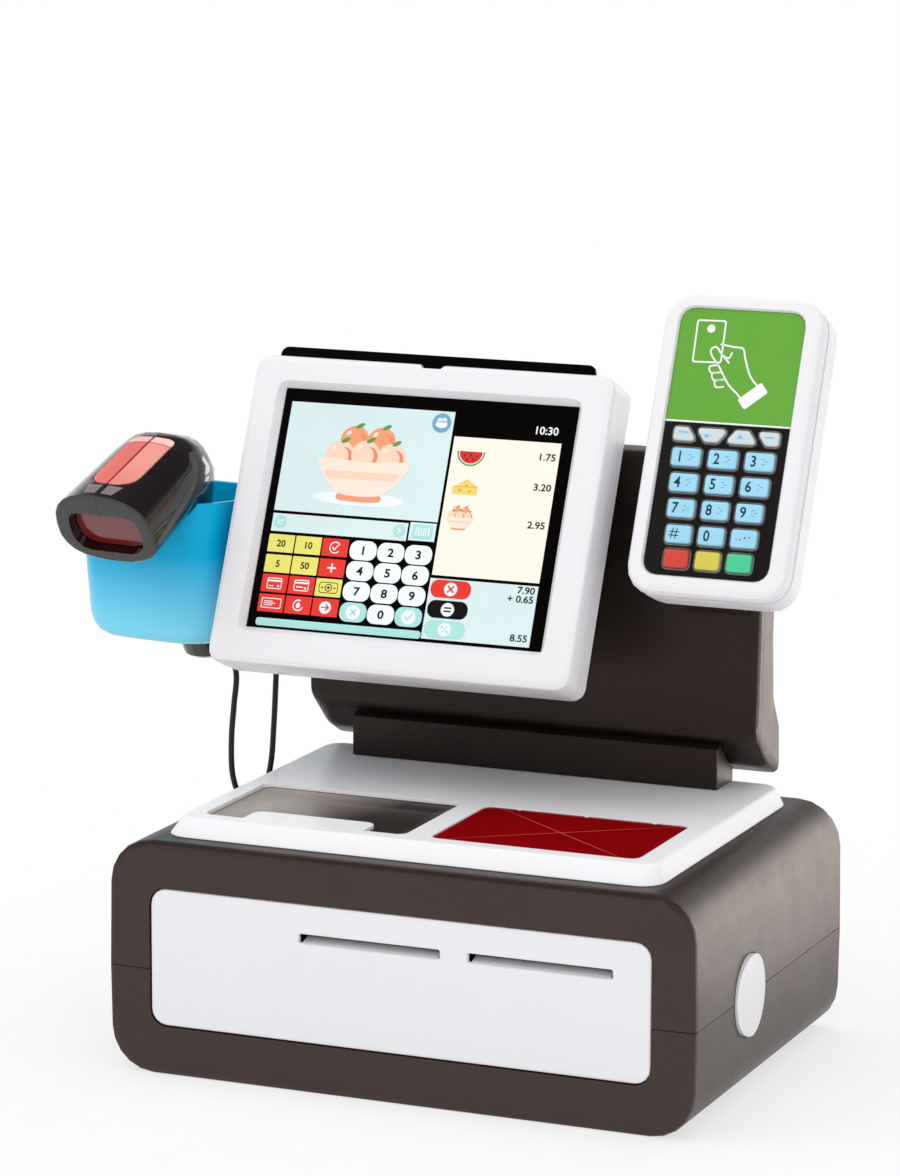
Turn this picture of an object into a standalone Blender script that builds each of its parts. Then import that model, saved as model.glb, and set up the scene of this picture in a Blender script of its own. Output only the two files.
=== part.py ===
"""Toy self checkout stand: base with a cash drawer, mast, tilted screen, pin pad, hand scanner in its holster.

Metres, +Z up. The origin is the centre of the base's underside, +X is the customer's right, -Y is the front.
"""

import bpy
import bmesh
from math import atan2, cos, pi, radians, sin, tan
from mathutils import Matrix, Vector

# Shared values
WALL = 0.0025
GAP = 0.0003
SLIDE_GAP = 0.0006

# Base housing: two shells that meet at a parting line, with rounded long edges
BASE_WIDTH = 0.380
BASE_DEPTH = 0.266
BASE_HEIGHT = 0.146
PARTING_HEIGHT = 0.0657
BASE_CORNER = 0.028
BASE_DRAFT = 0.0012
BASE_END_FILLET = 0.0028

# Drawer: front panel with two card slots, tray with bill bays and coin cups, runners
DRAWER_FRONT_WIDTH = BASE_WIDTH - 0.0564
DRAWER_FRONT_LOW = 0.0310
DRAWER_FRONT_HIGH = 0.1164
DRAWER_FRONT_CORNER = 0.010
DRAWER_FRONT_THICK = 0.003
DRAWER_FRONT_SET_BACK = 0.0006
DRAWER_TRAY_WIDTH = BASE_WIDTH - 0.078
DRAWER_TRAY_LENGTH = 0.182
DRAWER_TRAY_HEIGHT = 0.050
DRAWER_TRAY_FLOOR = 0.0400
DRAWER_WALL = 0.0022
COIN_WELL_LENGTH = 0.058
WELL_ROUNDING = 0.0030
COIN_CUP_ROUNDING = 0.0080
BILL_BAY_ROUNDING = 0.0040
COIN_CUPS = 4
BILL_BAYS = 3
CARD_SLOT_WIDTH = 0.0912
CARD_SLOT_HEIGHT = 0.0054
CARD_SLOT_LEVEL = 0.0952
CARD_SLOT_CENTRES = (-0.0176, 0.0918)
RUNNER_DEPTH = 0.0035
RUNNER_HEIGHT = 0.0040
RUNNER_LEVEL = 0.0560
RAIL_THICK = 0.0065
RAIL_LENGTH = 0.215

# Round release button in the right-hand side
BUTTON_RADIUS = 0.0250
BUTTON_Y = -0.0405
BUTTON_RISE = 0.0012
BUTTON_RIDGE = 0.0014
BUTTON_TRAVEL = 0.003

# Deck: glossy plateau with the change tray and the scan window let into it
DECK_LOW_Y = (-0.120, 0.118)
DECK_TOP_Y = (-0.111, 0.116)
DECK_RISE = 0.011
DECK_CORNER = 0.015
DECK_EDGE = 0.0016
WINDOW_WIDTH = 0.133
WINDOW_BAR = 0.016
WINDOW_BORDER = 0.013
WINDOW_Y = (-0.0993, -0.009)
BAR_CENTRE = -0.001
WINDOW_STEP = (WINDOW_WIDTH + WINDOW_BAR) / 2
WINDOW_CENTRES = (BAR_CENTRE - WINDOW_STEP, BAR_CENTRE + WINDOW_STEP)
DECK_TOP_HALF_WIDTH = WINDOW_WIDTH + WINDOW_BAR / 2 + WINDOW_BORDER
DECK_SLANT = 0.006
DECK_LOW_HALF_WIDTH = DECK_TOP_HALF_WIDTH + DECK_SLANT
WINDOW_CORNER = 0.006
WINDOW_LIP = 0.004
PANE_THICK = 0.002
TAB_WIDTH = 0.080
TAB_DEPTH = 0.0205
TAB_CORNER = 0.007
TRAY_PLATE = 0.0042
TRAY_DISH = 0.0022

# Battery compartment in the underside
CELL_RADIUS = 0.0071
CELL_LENGTH = 0.0505
CELL_PITCH = 0.0155
CELL_CENTRE = (0.070 - BASE_WIDTH / 2, BASE_DEPTH / 2 - 0.045)
DOOR_THICK = 0.002
DOOR_MARGIN = 0.004

# Height of the deck's top for which the levels of all that stands on it are given
LEVELS_FROM = 0.157

# Mast foot and mast
FOOT_HALF_WIDTH = 0.124
FOOT_CENTRE = -0.001
FOOT_FRONT = 0.084
FOOT_REAR = 0.114
MAST_LEFT = -0.157
MAST_RIGHT = 0.1475
MAST_TOP = 0.365
MAST_BACK_TOP = 0.1230
MAST_WAIST = (0.1180, 0.2500)
MAST_TOP_CORNER = 0.006
MAST_LOW_CORNER = 0.0148
MAST_BULGE_CORNER = 0.0040
MAST_EDGE = 0.0025
MAST_SEAM_DEPTH = 0.008
CIRCUIT_SIZE = (0.090, 0.070)
CIRCUIT_THICK = 0.0016
SPEAKER_RADIUS = 0.025
SPEAKER_DEPTH = 0.009
SPEAKER_CENTRE = (0.060, 0.300)
SPEAKER_SLOTS = 7
SPEAKER_SLOT = (0.0022, 0.034)
SPEAKER_PITCH = 0.0058

# Tilted plane that the screen and the pin pad share
FACE_ORIGIN = (0.0, 0.0, 0.2535)
FACE_LEAN = 0.407

# Screen, in the tilted plane: across x, up y, outward z
SCREEN_X = (-0.1815, 0.0615)
SCREEN_Y = (-0.0245, 0.1750)
SCREEN_FRONT = 0.0065
SCREEN_SEAM = -0.0110
SCREEN_CORNER = 0.009
SCREEN_EDGE = 0.0036
SCREEN_OPENING_X = (-0.1600, 0.0390)
SCREEN_OPENING_Y = (-0.0003, 0.1550)
SCREEN_BEVEL = 0.0034
SCREEN_RIM_DEPTH = 0.0300
SCREEN_BACK_DEPTH = 0.0370
SCREEN_BACK_INSET_X = 0.0045
SCREEN_BACK_Y = (0.0110, 0.1650)
CARD_THICK = 0.0020
CARD_X = (-0.1682, 0.0452)
CARD_Y = (-0.0120, 0.1820)
CARD_CORNER = 0.005
NOTCH_X = -0.0617
NOTCH_RADIUS = 0.0095
NOTCH_DEPTH = 0.0032
SCREEN_MOUNT_WIDTH = 0.084

# Pin pad, in the same plane
PAD_X = (0.0862, 0.1890)
PAD_Y = (0.0410, 0.2300)
PAD_FRONT = 0.006
PAD_BACK = -0.031
PAD_SEAM = -0.008
PAD_GROOVE_TOP = 0.0015
PAD_GROOVE_DEPTH = 0.0011
PAD_CORNER = 0.018
PAD_EDGE = 0.0045
PAD_OPENING_X = (0.0963, 0.1768)
PAD_OPENING_Y = (0.0532, 0.2215)
PAD_OPENING_CORNER = 0.009
PAD_LABEL_LOW = 0.1492
PAD_FACE = 0.0040
PAD_MOUNT_X = (0.100, 0.140)
FRAME_THICK = 0.0026

# Keys: cap over a flange that is held behind the frame
KEY_TOP = 0.0066
KEY_FLANGE = 0.0011
KEY_FLANGE_THICK = 0.0016
KEY_TRAVEL = 0.0015
KEY_CLEARANCE = 0.0004
KEY_CORNER = 0.0020
KEY_WELL_RIM = 0.0011
KEY_WELL_RISE = 0.0009
KEY_CENTRE = 0.1375
KEY_PITCH_HIGH = 0.0236
KEY_PITCH_LOW = 0.0201
KEY_FILL = 0.80
KEY_ROWS = (0.1270, 0.1111, 0.0950, 0.0789, 0.0637)
KEY_HEIGHT = 0.0117
SOFT_ROW = 0.1415
SOFT_HEIGHT = 0.0090
SOFT_SPAN = 0.0680
SOFT_BASE = 0.0222
SOFT_SIDE = 0.0092
SOFT_LEAN = 0.0069
SOFT_GAP = 0.0042

# Scanner and holster stand at a small angle on the left
SCANNER_PLACE = (-0.225, 0.060, 0.0)
SCANNER_TURN = -8.0
SEAM = 0.0003
NOSE_RECESS = 0.0085
NOSE_WINDOW_HALF = (0.0278, 0.0138)
NOSE_WINDOW_DROP = 0.0035
NOSE_WINDOW_THICK = 0.0015
INSERT_HALF_WIDTH = 0.0165
INSERT_FRONT = 0.0960
INSERT_REAR = 0.0440
INSERT_DEPTH = 0.0014
TRIGGER_HALF_WIDTH = 0.0070
TRIGGER_LOW = 0.2780
TRIGGER_HIGH = 0.2960
TRIGGER_RISE = 0.0018
TRIGGER_DEPTH = 0.0070
TRIGGER_TRAVEL = 0.0025
HOLSTER_X = (-0.0625, 0.0400)
HOLSTER_BACK = -0.0420
HOLSTER_FRONT = 0.0395
HOLSTER_FRONT_SLOPE = 0.13
HOLSTER_LOW = 0.2325
HOLSTER_TOP = 0.3310
HOLSTER_CORNER = 0.021
HOLSTER_LOW_ROUND = (0.0150, 0.0070)
HOLSTER_WALL = 0.003
HOLSTER_RIM = ((-0.080, 0.3290), (-0.0300, 0.3260), (-0.0100, 0.3245), (0.0100, 0.3250), (0.0700, 0.3262))
THROAT_NOTCH_X = (-0.0130, 0.0090)
THROAT_NOTCH_LOW = 0.2960
HEAD_CLEARANCE = 0.0010
COLLAR_CLEARANCE = 0.0008
COLLAR_RUN = 0.0100
ARM_Y = (0.0935, 0.1160)
ARM_Z = (0.2700, 0.3240)

# Cord between the mast and the scanner's handle
CORD_RADIUS = 0.0019
RELIEF_RADIUS = 0.0042
RELIEF_LENGTH = 0.007
RELIEF_SHIFT = 0.0080
CORD_SPACING = 0.0080
CORD_END_RUN = 0.0040
CORD_EXIT_Y = 0.1070
CORD_EXIT_Z = 0.2480

FINISHES = {
    "dark plastic": ((0.045, 0.034, 0.030), 0.42, 0.0),
    "black gloss": ((0.012, 0.011, 0.012), 0.12, 0.0),
    "white plastic": ((0.86, 0.86, 0.87), 0.30, 0.0),
    "white gloss": ((0.88, 0.88, 0.90), 0.10, 0.0),
    "blue plastic": ((0.05, 0.50, 0.82), 0.28, 0.0),
    "red window": ((0.32, 0.004, 0.010), 0.08, 0.0),
    "salmon plastic": ((0.80, 0.22, 0.20), 0.30, 0.0),
    "green label": ((0.13, 0.44, 0.05), 0.45, 0.0),
    "pale blue key": ((0.35, 0.72, 0.88), 0.35, 0.0),
    "pale key": ((0.66, 0.72, 0.74), 0.35, 0.0),
    "red key": ((0.62, 0.08, 0.07), 0.35, 0.0),
    "yellow key": ((0.62, 0.60, 0.12), 0.35, 0.0),
    "green key": ((0.07, 0.60, 0.33), 0.35, 0.0),
    "screen print": ((0.020, 0.018, 0.018), 0.20, 0.0),
    "cord rubber": ((0.03, 0.027, 0.026), 0.60, 0.0),
    "cell metal": ((0.55, 0.55, 0.56), 0.30, 1.0),
    "circuit green": ((0.02, 0.16, 0.06), 0.50, 0.0),
}

PARTS = bpy.data.collections.new("toy_self_checkout_stand")
CUTTERS = bpy.data.collections.new("cutters")


def clear_scene():
    for item in list(bpy.data.objects):
        bpy.data.objects.remove(item, do_unlink=True)
    bpy.context.scene.collection.children.link(PARTS)
    bpy.context.scene.collection.children.link(CUTTERS)


def finish_material(name, finish):
    colour, roughness, metallic = FINISHES[finish]
    material = bpy.data.materials.new(name)
    material.use_nodes = True
    shader = material.node_tree.nodes["Principled BSDF"]
    shader.inputs["Base Color"].default_value = (*colour, 1.0)
    shader.inputs["Roughness"].default_value = roughness
    shader.inputs["Metallic"].default_value = metallic
    material.diffuse_color = (*colour, 1.0)
    return material


def frame(name, location, rotation):
    """An empty that carries the pieces of one assembly."""
    empty = bpy.data.objects.new(name, None)
    empty.location = location
    empty.rotation_euler = rotation
    empty.empty_display_size = 0.02
    PARTS.objects.link(empty)
    return empty


def offset(corners, inset):
    """Counter-clockwise corners moved inwards by inset (outwards where it is negative)."""
    moved = []
    for k, corner in enumerate(corners):
        before, here, after = (Vector(corners[k - 1]), Vector(corner), Vector(corners[(k + 1) % len(corners)]))
        first = (here - before).normalized()
        second = (after - here).normalized()
        inward = Vector((-first.y, first.x)) + Vector((-second.y, second.x))
        moved.append(here + inward * inset / (1 + first.dot(second)))
    return moved


def outline(corners, radii, inset=0.0, steps=4):
    """Points round a counter-clockwise polygon whose corners are rounded; all share one count per corner."""
    if not isinstance(radii, (tuple, list)):
        radii = (radii,) * len(corners)
    moved = offset(corners, inset)
    points = []
    for k, corner in enumerate(moved):
        before = (moved[k - 1] - corner).normalized()
        after = (moved[(k + 1) % len(moved)] - corner).normalized()
        half = before.angle(after) / 2
        convex = before.x * after.y - before.y * after.x < 0
        radius = max(radii[k] - inset if convex else radii[k] + inset, 0.0003)
        centre = corner + (before + after).normalized() * radius / sin(half)
        start = corner + before * radius / tan(half) - centre
        sweep = (pi - 2 * half) * (1 if convex else -1)
        for step in range(steps + 1):
            turn = Matrix.Rotation(sweep * step / steps, 2)
            points.append(tuple(centre + turn @ start))
    return points


def rectangle(x_range, y_range):
    return [(x_range[0], y_range[0]), (x_range[1], y_range[0]), (x_range[1], y_range[1]), (x_range[0], y_range[1])]


def centred(x_centre, width, y_centre, height):
    return rectangle(
        (x_centre - width / 2, x_centre + width / 2), (y_centre - height / 2, y_centre + height / 2)
    )


def place(plane, point, level):
    if plane == "XY":
        return Vector((point[0], point[1], level))
    if plane == "XZ":
        return Vector((point[0], level, point[1]))
    return Vector((level, point[0], point[1]))


def add_object(name, bm, finish, parent, origin):
    bmesh.ops.recalc_face_normals(bm, faces=bm.faces)
    bmesh.ops.translate(bm, verts=bm.verts, vec=-Vector(origin))
    mesh = bpy.data.meshes.new(name)
    bm.to_mesh(mesh)
    bm.free()
    mesh.shade_smooth()
    mesh.set_sharp_from_angle(angle=radians(32))
    item = bpy.data.objects.new(name, mesh)
    item.location = origin
    item.parent = parent
    if finish is None:
        item.hide_render = True
        item.display_type = "WIRE"
        CUTTERS.objects.link(item)
    else:
        mesh.materials.append(finish_material(name, finish))
        PARTS.objects.link(item)
    return item


def body(name, rings, finish=None, parent=None, origin=(0, 0, 0)):
    """A closed body through rings of equal count: each ring is skinned to the next and the ends are capped."""
    bm = bmesh.new()
    rows = [[bm.verts.new(point) for point in ring] for ring in rings]
    count = len(rows[0])
    for low, high in zip(rows, rows[1:]):
        for k in range(count):
            after = (k + 1) % count
            bm.faces.new((low[k], low[after], high[after], high[k]))
    bm.faces.new(rows[0])
    bm.faces.new(rows[-1])
    return add_object(name, bm, finish, parent, origin)


def stack(name, levels, finish=None, parent=None, plane="XY", origin=(0, 0, 0)):
    """A body drafted through outlines at rising levels, each given as (level, points)."""
    rings = [[place(plane, point, level) for point in points] for level, points in levels]
    return body(name, rings, finish, parent, origin)


def prism(name, points, low, high, finish=None, parent=None, plane="XY", edge=0.0, origin=(0, 0, 0)):
    """An outline extruded from low to high, with its edges rounded by a Bevel where edge is given."""
    bm = bmesh.new()
    face = bm.faces.new([bm.verts.new(place(plane, point, low)) for point in points])
    lifted = bmesh.ops.extrude_face_region(bm, geom=[face])
    verts = [item for item in lifted["geom"] if isinstance(item, bmesh.types.BMVert)]
    bmesh.ops.translate(bm, verts=verts, vec=place(plane, (0, 0), high - low))
    item = add_object(name, bm, finish, parent, origin)
    if edge:
        bevel = item.modifiers.new("rounded edges", "BEVEL")
        bevel.width = edge
        bevel.segments = 2
        bevel.limit_method = "ANGLE"
        bevel.angle_limit = radians(50)
    return item


def turned(name, radius, low, high, finish=None, parent=None, plane="XY", centre=(0, 0), sides=24, origin=(0, 0, 0)):
    """A round plug or disc along the third direction of the plane."""
    points = [
        (centre[0] + radius * cos(2 * pi * k / sides), centre[1] + radius * sin(2 * pi * k / sides))
        for k in range(sides)
    ]
    return prism(name, points, low, high, finish, parent, plane, origin=origin)


def cut(target, tool, operation="DIFFERENCE"):
    modifier = target.modifiers.new(tool.name, "BOOLEAN")
    modifier.operation = operation
    modifier.object = tool
    modifier.solver = "EXACT"


def join(target, tool):
    cut(target, tool, "UNION")


def tube(name, points, radius, finish, parent=None):
    """A cord along a smooth route: a curve with a bevel and filled caps."""
    data = bpy.data.curves.new(name, "CURVE")
    data.dimensions = "3D"
    data.bevel_depth = radius
    data.bevel_resolution = 2
    data.use_fill_caps = True
    spline = data.splines.new("POLY")
    spline.points.add(len(points) - 1)
    for target, point in zip(spline.points, points):
        target.co = (*point, 1)
    item = bpy.data.objects.new(name, data)
    item.parent = parent
    data.materials.append(finish_material(name, finish))
    PARTS.objects.link(item)
    return item


def smooth_route(stations, spacing):
    """Points about every spacing along a Catmull-Rom curve through the stations; both ends keep a straight run."""
    stations = [Vector(station) for station in stations]
    fine = []
    for p0, p1, p2, p3 in zip(stations, stations[1:], stations[2:], stations[3:]):
        for k in range(24):
            t = k / 24
            fine.append(
                0.5
                * (
                    2 * p1
                    + (p2 - p0) * t
                    + (2 * p0 - 5 * p1 + 4 * p2 - p3) * t**2
                    + (3 * p1 - p0 - 3 * p2 + p3) * t**3
                )
            )
    points = stations[:2]
    for point in fine:
        if (point - points[-1]).length >= spacing and (point - stations[-2]).length >= spacing / 2:
            points.append(point)
    return points + stations[-2:]


# Base shells


def base_arch(upper, inset=0.0, beyond=0.0):
    """Half of the base's front view: up from the parting line, or down from it."""
    half = BASE_WIDTH / 2
    seam = PARTING_HEIGHT + (GAP / 2 if upper else -GAP / 2)
    top = BASE_HEIGHT if upper else 0.0
    sign = 1 if upper else -1
    start = seam - sign * beyond
    corners = [
        (half - inset, start),
        (half - BASE_DRAFT - inset, top - sign * inset),
        (-half + BASE_DRAFT + inset, top - sign * inset),
        (-half + inset, start),
    ]
    if not upper:
        corners = corners[::-1]
    corner = max(BASE_CORNER - inset, 0.001)
    radii = [0.0003, corner, corner, 0.0003]
    return outline(corners, radii, steps=5)


def base_shell(name, upper):
    half = BASE_DEPTH / 2
    edge = BASE_END_FILLET
    ends = ((0.0, edge), (0.3 * edge, 0.29 * edge), (edge, 0.0))
    levels = [(-half + along, base_arch(upper, inset)) for along, inset in ends]
    levels += [(half - along, base_arch(upper, inset)) for along, inset in ends[::-1]]
    shell = stack(name, levels, "dark plastic", plane="XZ")
    hollow = stack(
        name + "_hollow",
        [(y, base_arch(upper, WALL, beyond=0.004)) for y in (-half + WALL, half - WALL)],
        plane="XZ",
    )
    cut(shell, hollow)
    return shell


def make_base():
    lower = base_shell("base_lower_shell", upper=False)
    upper = base_shell("base_upper_shell", upper=True)
    half_depth = BASE_DEPTH / 2

    doorway = prism(
        "drawer_doorway",
        outline(
            centred(0, DRAWER_FRONT_WIDTH + 2 * SLIDE_GAP, (DRAWER_FRONT_LOW + DRAWER_FRONT_HIGH) / 2,
                    DRAWER_FRONT_HIGH - DRAWER_FRONT_LOW + 2 * SLIDE_GAP),
            DRAWER_FRONT_CORNER + SLIDE_GAP,
        ),
        -half_depth - 0.01,
        -half_depth + 3 * WALL,
        plane="XZ",
    )
    button_hole = turned(
        "button_hole", BUTTON_RADIUS + SLIDE_GAP, BASE_WIDTH / 2 - 0.012, BASE_WIDTH / 2 + 0.01,
        plane="YZ", centre=(BUTTON_Y, PARTING_HEIGHT), sides=32,
    )
    for shell in (lower, upper):
        cut(shell, doorway)
        cut(shell, button_hole)

    x_low, x_high = WINDOW_CENTRES[0] - WINDOW_WIDTH / 2, WINDOW_CENTRES[1] + WINDOW_WIDTH / 2
    well = prism(
        "deck_well",
        outline(rectangle((x_low - 0.008, x_high + 0.008), (WINDOW_Y[0] - 0.008, WINDOW_Y[1] + 0.008)), 0.008),
        BASE_HEIGHT - 2 * WALL,
        BASE_HEIGHT + 0.01,
    )
    cut(upper, well)

    cells_y = CELL_PITCH * 3
    box_x = (CELL_CENTRE[0] - CELL_LENGTH / 2 - 0.003, CELL_CENTRE[0] + CELL_LENGTH / 2 + 0.003)
    box_y = (CELL_CENTRE[1] - cells_y / 2 - GAP, CELL_CENTRE[1] + cells_y / 2 + GAP)
    ceiling = DOOR_THICK + 2 * GAP + 2 * CELL_RADIUS + GAP
    housing = prism(
        "battery_housing",
        outline(offset(rectangle(box_x, box_y), -0.002), 0.003),
        WALL / 2,
        ceiling + 0.002,
    )
    join(lower, housing)
    room = prism("battery_room", outline(rectangle(box_x, box_y), 0.001), WALL - 0.0005, ceiling)
    cut(lower, room)
    door_seat = outline(offset(rectangle(box_x, box_y), -DOOR_MARGIN / 2 + 0.0008), 0.003)
    cut(lower, prism("battery_doorway", door_seat, -0.004, DOOR_THICK + GAP))
    door = prism(
        "battery_door",
        outline(offset(rectangle(box_x, box_y), -DOOR_MARGIN / 2 + 0.0008 + GAP), 0.003),
        0.0,
        DOOR_THICK,
        "dark plastic",
    )
    thumb = prism(
        "battery_door_thumb",
        outline(centred(CELL_CENTRE[0], 0.016, box_y[0] + 0.010, 0.008), 0.0035, steps=3),
        -0.002,
        0.0008,
    )
    cut(door, thumb)
    for k in range(3):
        y = CELL_CENTRE[1] + (k - 1) * CELL_PITCH
        turned(
            "battery_" + "abc"[k],
            CELL_RADIUS,
            CELL_CENTRE[0] - CELL_LENGTH / 2,
            CELL_CENTRE[0] + CELL_LENGTH / 2,
            "cell metal",
            plane="YZ",
            centre=(y, DOOR_THICK + 2 * GAP + CELL_RADIUS),
            sides=16,
        )


def make_rails():
    tray_half = DRAWER_TRAY_WIDTH / 2
    for name, side in (("drawer_rail_left", -1), ("drawer_rail_right", 1)):
        inner = side * (tray_half + SLIDE_GAP)
        outer = side * (tray_half + SLIDE_GAP + RAIL_THICK)
        y_low = -BASE_DEPTH / 2 + WALL + 0.004
        x_range = (min(inner, outer), max(inner, outer))
        rail = prism(
            name,
            rectangle(x_range, (y_low, y_low + RAIL_LENGTH)),
            WALL + 0.0003,
            RUNNER_LEVEL + RUNNER_HEIGHT / 2 + 0.006,
            "dark plastic",
        )
        reach = side * (tray_half + RUNNER_DEPTH + 2 * SLIDE_GAP)
        start = side * (tray_half - 0.004)
        groove = prism(
            name + "_groove",
            rectangle(
                (min(start, reach), max(start, reach)),
                (RUNNER_LEVEL - RUNNER_HEIGHT / 2 - SLIDE_GAP, RUNNER_LEVEL + RUNNER_HEIGHT / 2 + SLIDE_GAP),
            ),
            y_low - 0.01,
            y_low + RAIL_LENGTH - 0.006,
            plane="XZ",
        )
        cut(rail, groove)


def tray_pockets(tray, name, count, x_range, y_range, floor, rim, rounding):
    """A row of open pockets, one wall apart, with their floors rounded up into the walls."""
    pitch = (x_range[1] - x_range[0] + DRAWER_WALL) / count
    for k in range(count):
        x_low = x_range[0] + k * pitch
        bay = rectangle((x_low, x_low + pitch - DRAWER_WALL), y_range)
        pocket = stack(
            f"{name}_{k}",
            [
                (floor, outline(bay, rounding, rounding / 2, steps=3)),
                (floor + rounding / 2, outline(bay, rounding, 0.0003, steps=3)),
                (rim + 0.01, outline(bay, rounding, 0.0, steps=3)),
            ],
        )
        cut(tray, pocket)


def make_drawer():
    front_face = -BASE_DEPTH / 2 + DRAWER_FRONT_SET_BACK
    height = DRAWER_FRONT_HIGH - DRAWER_FRONT_LOW
    corners = centred(0, DRAWER_FRONT_WIDTH, (DRAWER_FRONT_LOW + DRAWER_FRONT_HIGH) / 2, height)
    edge = 0.0012
    levels = [
        (front_face, outline(corners, DRAWER_FRONT_CORNER, edge)),
        (front_face + 0.3 * edge, outline(corners, DRAWER_FRONT_CORNER, 0.3 * edge)),
        (front_face + edge, outline(corners, DRAWER_FRONT_CORNER)),
        (front_face + DRAWER_FRONT_THICK, outline(corners, DRAWER_FRONT_CORNER)),
    ]
    panel = stack("drawer_front", levels, "white plastic", plane="XZ", origin=(0, front_face, 0.07))
    for k, centre in enumerate(CARD_SLOT_CENTRES):
        slot = centred(centre, CARD_SLOT_WIDTH, CARD_SLOT_LEVEL, CARD_SLOT_HEIGHT)
        funnel = stack(
            f"card_slot_{k}",
            [
                (front_face - 0.002, outline(slot, 0.0014, -0.0016, steps=2)),
                (front_face + 0.0012, outline(slot, 0.0006, 0.0, steps=2)),
                (front_face + DRAWER_FRONT_THICK + 0.003, outline(slot, 0.0006, 0.0, steps=2)),
            ],
            plane="XZ",
        )
        cut(panel, funnel)

    tray_front = front_face + DRAWER_FRONT_THICK + GAP
    tray_x = (-DRAWER_TRAY_WIDTH / 2, DRAWER_TRAY_WIDTH / 2)
    tray_y = (tray_front, tray_front + DRAWER_TRAY_LENGTH)
    rim = DRAWER_TRAY_FLOOR + DRAWER_TRAY_HEIGHT
    shape = rectangle(tray_x, tray_y)
    tray = stack(
        "drawer_tray",
        [
            (DRAWER_TRAY_FLOOR, outline(shape, 0.005, 0.0015, steps=3)),
            (DRAWER_TRAY_FLOOR + 0.0015, outline(shape, 0.005, 0.0, steps=3)),
            (rim, outline(shape, 0.005, 0.0, steps=3)),
        ],
        "dark plastic",
        origin=(0, front_face, 0.07),
    )
    floor = DRAWER_TRAY_FLOOR + DRAWER_WALL
    inner_x = (tray_x[0] + DRAWER_WALL, tray_x[1] - DRAWER_WALL)
    split = tray_y[0] + DRAWER_WALL + COIN_WELL_LENGTH
    well_y = (tray_y[0] + DRAWER_WALL, split)
    well = prism("coin_well", outline(rectangle(inner_x, well_y), WELL_ROUNDING, steps=3), floor, rim + 0.01)
    cut(tray, well)
    bays = (split + DRAWER_WALL, tray_y[1] - DRAWER_WALL)
    tray_pockets(tray, "bill_bay", BILL_BAYS, inner_x, bays, floor, rim, BILL_BAY_ROUNDING)

    insert_x = (inner_x[0] + GAP, inner_x[1] - GAP)
    insert_y = (well_y[0] + GAP, well_y[1] - GAP)
    insert_shape = rectangle(insert_x, insert_y)
    insert = stack(
        "coin_insert",
        [
            (floor + GAP, outline(insert_shape, WELL_ROUNDING, 0.0008, steps=3)),
            (floor + GAP + 0.0008, outline(insert_shape, WELL_ROUNDING, 0.0, steps=3)),
            (rim, outline(insert_shape, WELL_ROUNDING, 0.0, steps=3)),
        ],
        "dark plastic",
        origin=(0, front_face, 0.07),
    )
    cups_x = (insert_x[0] + DRAWER_WALL, insert_x[1] - DRAWER_WALL)
    cups_y = (insert_y[0] + DRAWER_WALL, insert_y[1] - DRAWER_WALL)
    tray_pockets(insert, "coin_cup", COIN_CUPS, cups_x, cups_y, floor + GAP + DRAWER_WALL, rim, COIN_CUP_ROUNDING)
    for side in (-1, 1):
        low_x = side * (tray_x[1] - DRAWER_WALL / 2)
        high_x = side * (tray_x[1] + RUNNER_DEPTH)
        runner = prism(
            f"runner_{side}",
            rectangle(
                (min(low_x, high_x), max(low_x, high_x)),
                (RUNNER_LEVEL - RUNNER_HEIGHT / 2, RUNNER_LEVEL + RUNNER_HEIGHT / 2),
            ),
            tray_y[1] - 0.120,
            tray_y[1] - 0.004,
            plane="XZ",
        )
        join(tray, runner)


def make_button():
    """A disc whose outer face folds at a vertical ridge, held by a flange behind the wall."""
    side = BASE_WIDTH / 2
    place_x = side - WALL
    cap = turned(
        "drawer_button", BUTTON_RADIUS, place_x - 0.004, side + 0.004, "white plastic",
        plane="YZ", centre=(BUTTON_Y, PARTING_HEIGHT), sides=32, origin=(side, BUTTON_Y, PARTING_HEIGHT),
    )
    face = side + BUTTON_RISE
    roof = prism(
        "button_roof",
        [
            (place_x - 0.010, BUTTON_Y - 0.030),
            (face, BUTTON_Y - 0.030),
            (face, BUTTON_Y - BUTTON_RADIUS),
            (face + BUTTON_RIDGE, BUTTON_Y),
            (face, BUTTON_Y + BUTTON_RADIUS),
            (face, BUTTON_Y + 0.030),
            (place_x - 0.010, BUTTON_Y + 0.030),
        ],
        PARTING_HEIGHT - 0.030,
        PARTING_HEIGHT + 0.030,
    )
    cut(cap, roof, "INTERSECT")
    flange = turned(
        "button_flange", BUTTON_RADIUS + 0.003, place_x - 0.0032, place_x - 0.0009,
        plane="YZ", centre=(BUTTON_Y, PARTING_HEIGHT), sides=32,
    )
    stem = prism(
        "button_stem",
        centred(place_x - 0.008, 0.012, BUTTON_Y, 0.008),
        PARTING_HEIGHT - 0.004,
        PARTING_HEIGHT + 0.004,
    )
    join(cap, flange)
    join(cap, stem)


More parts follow.
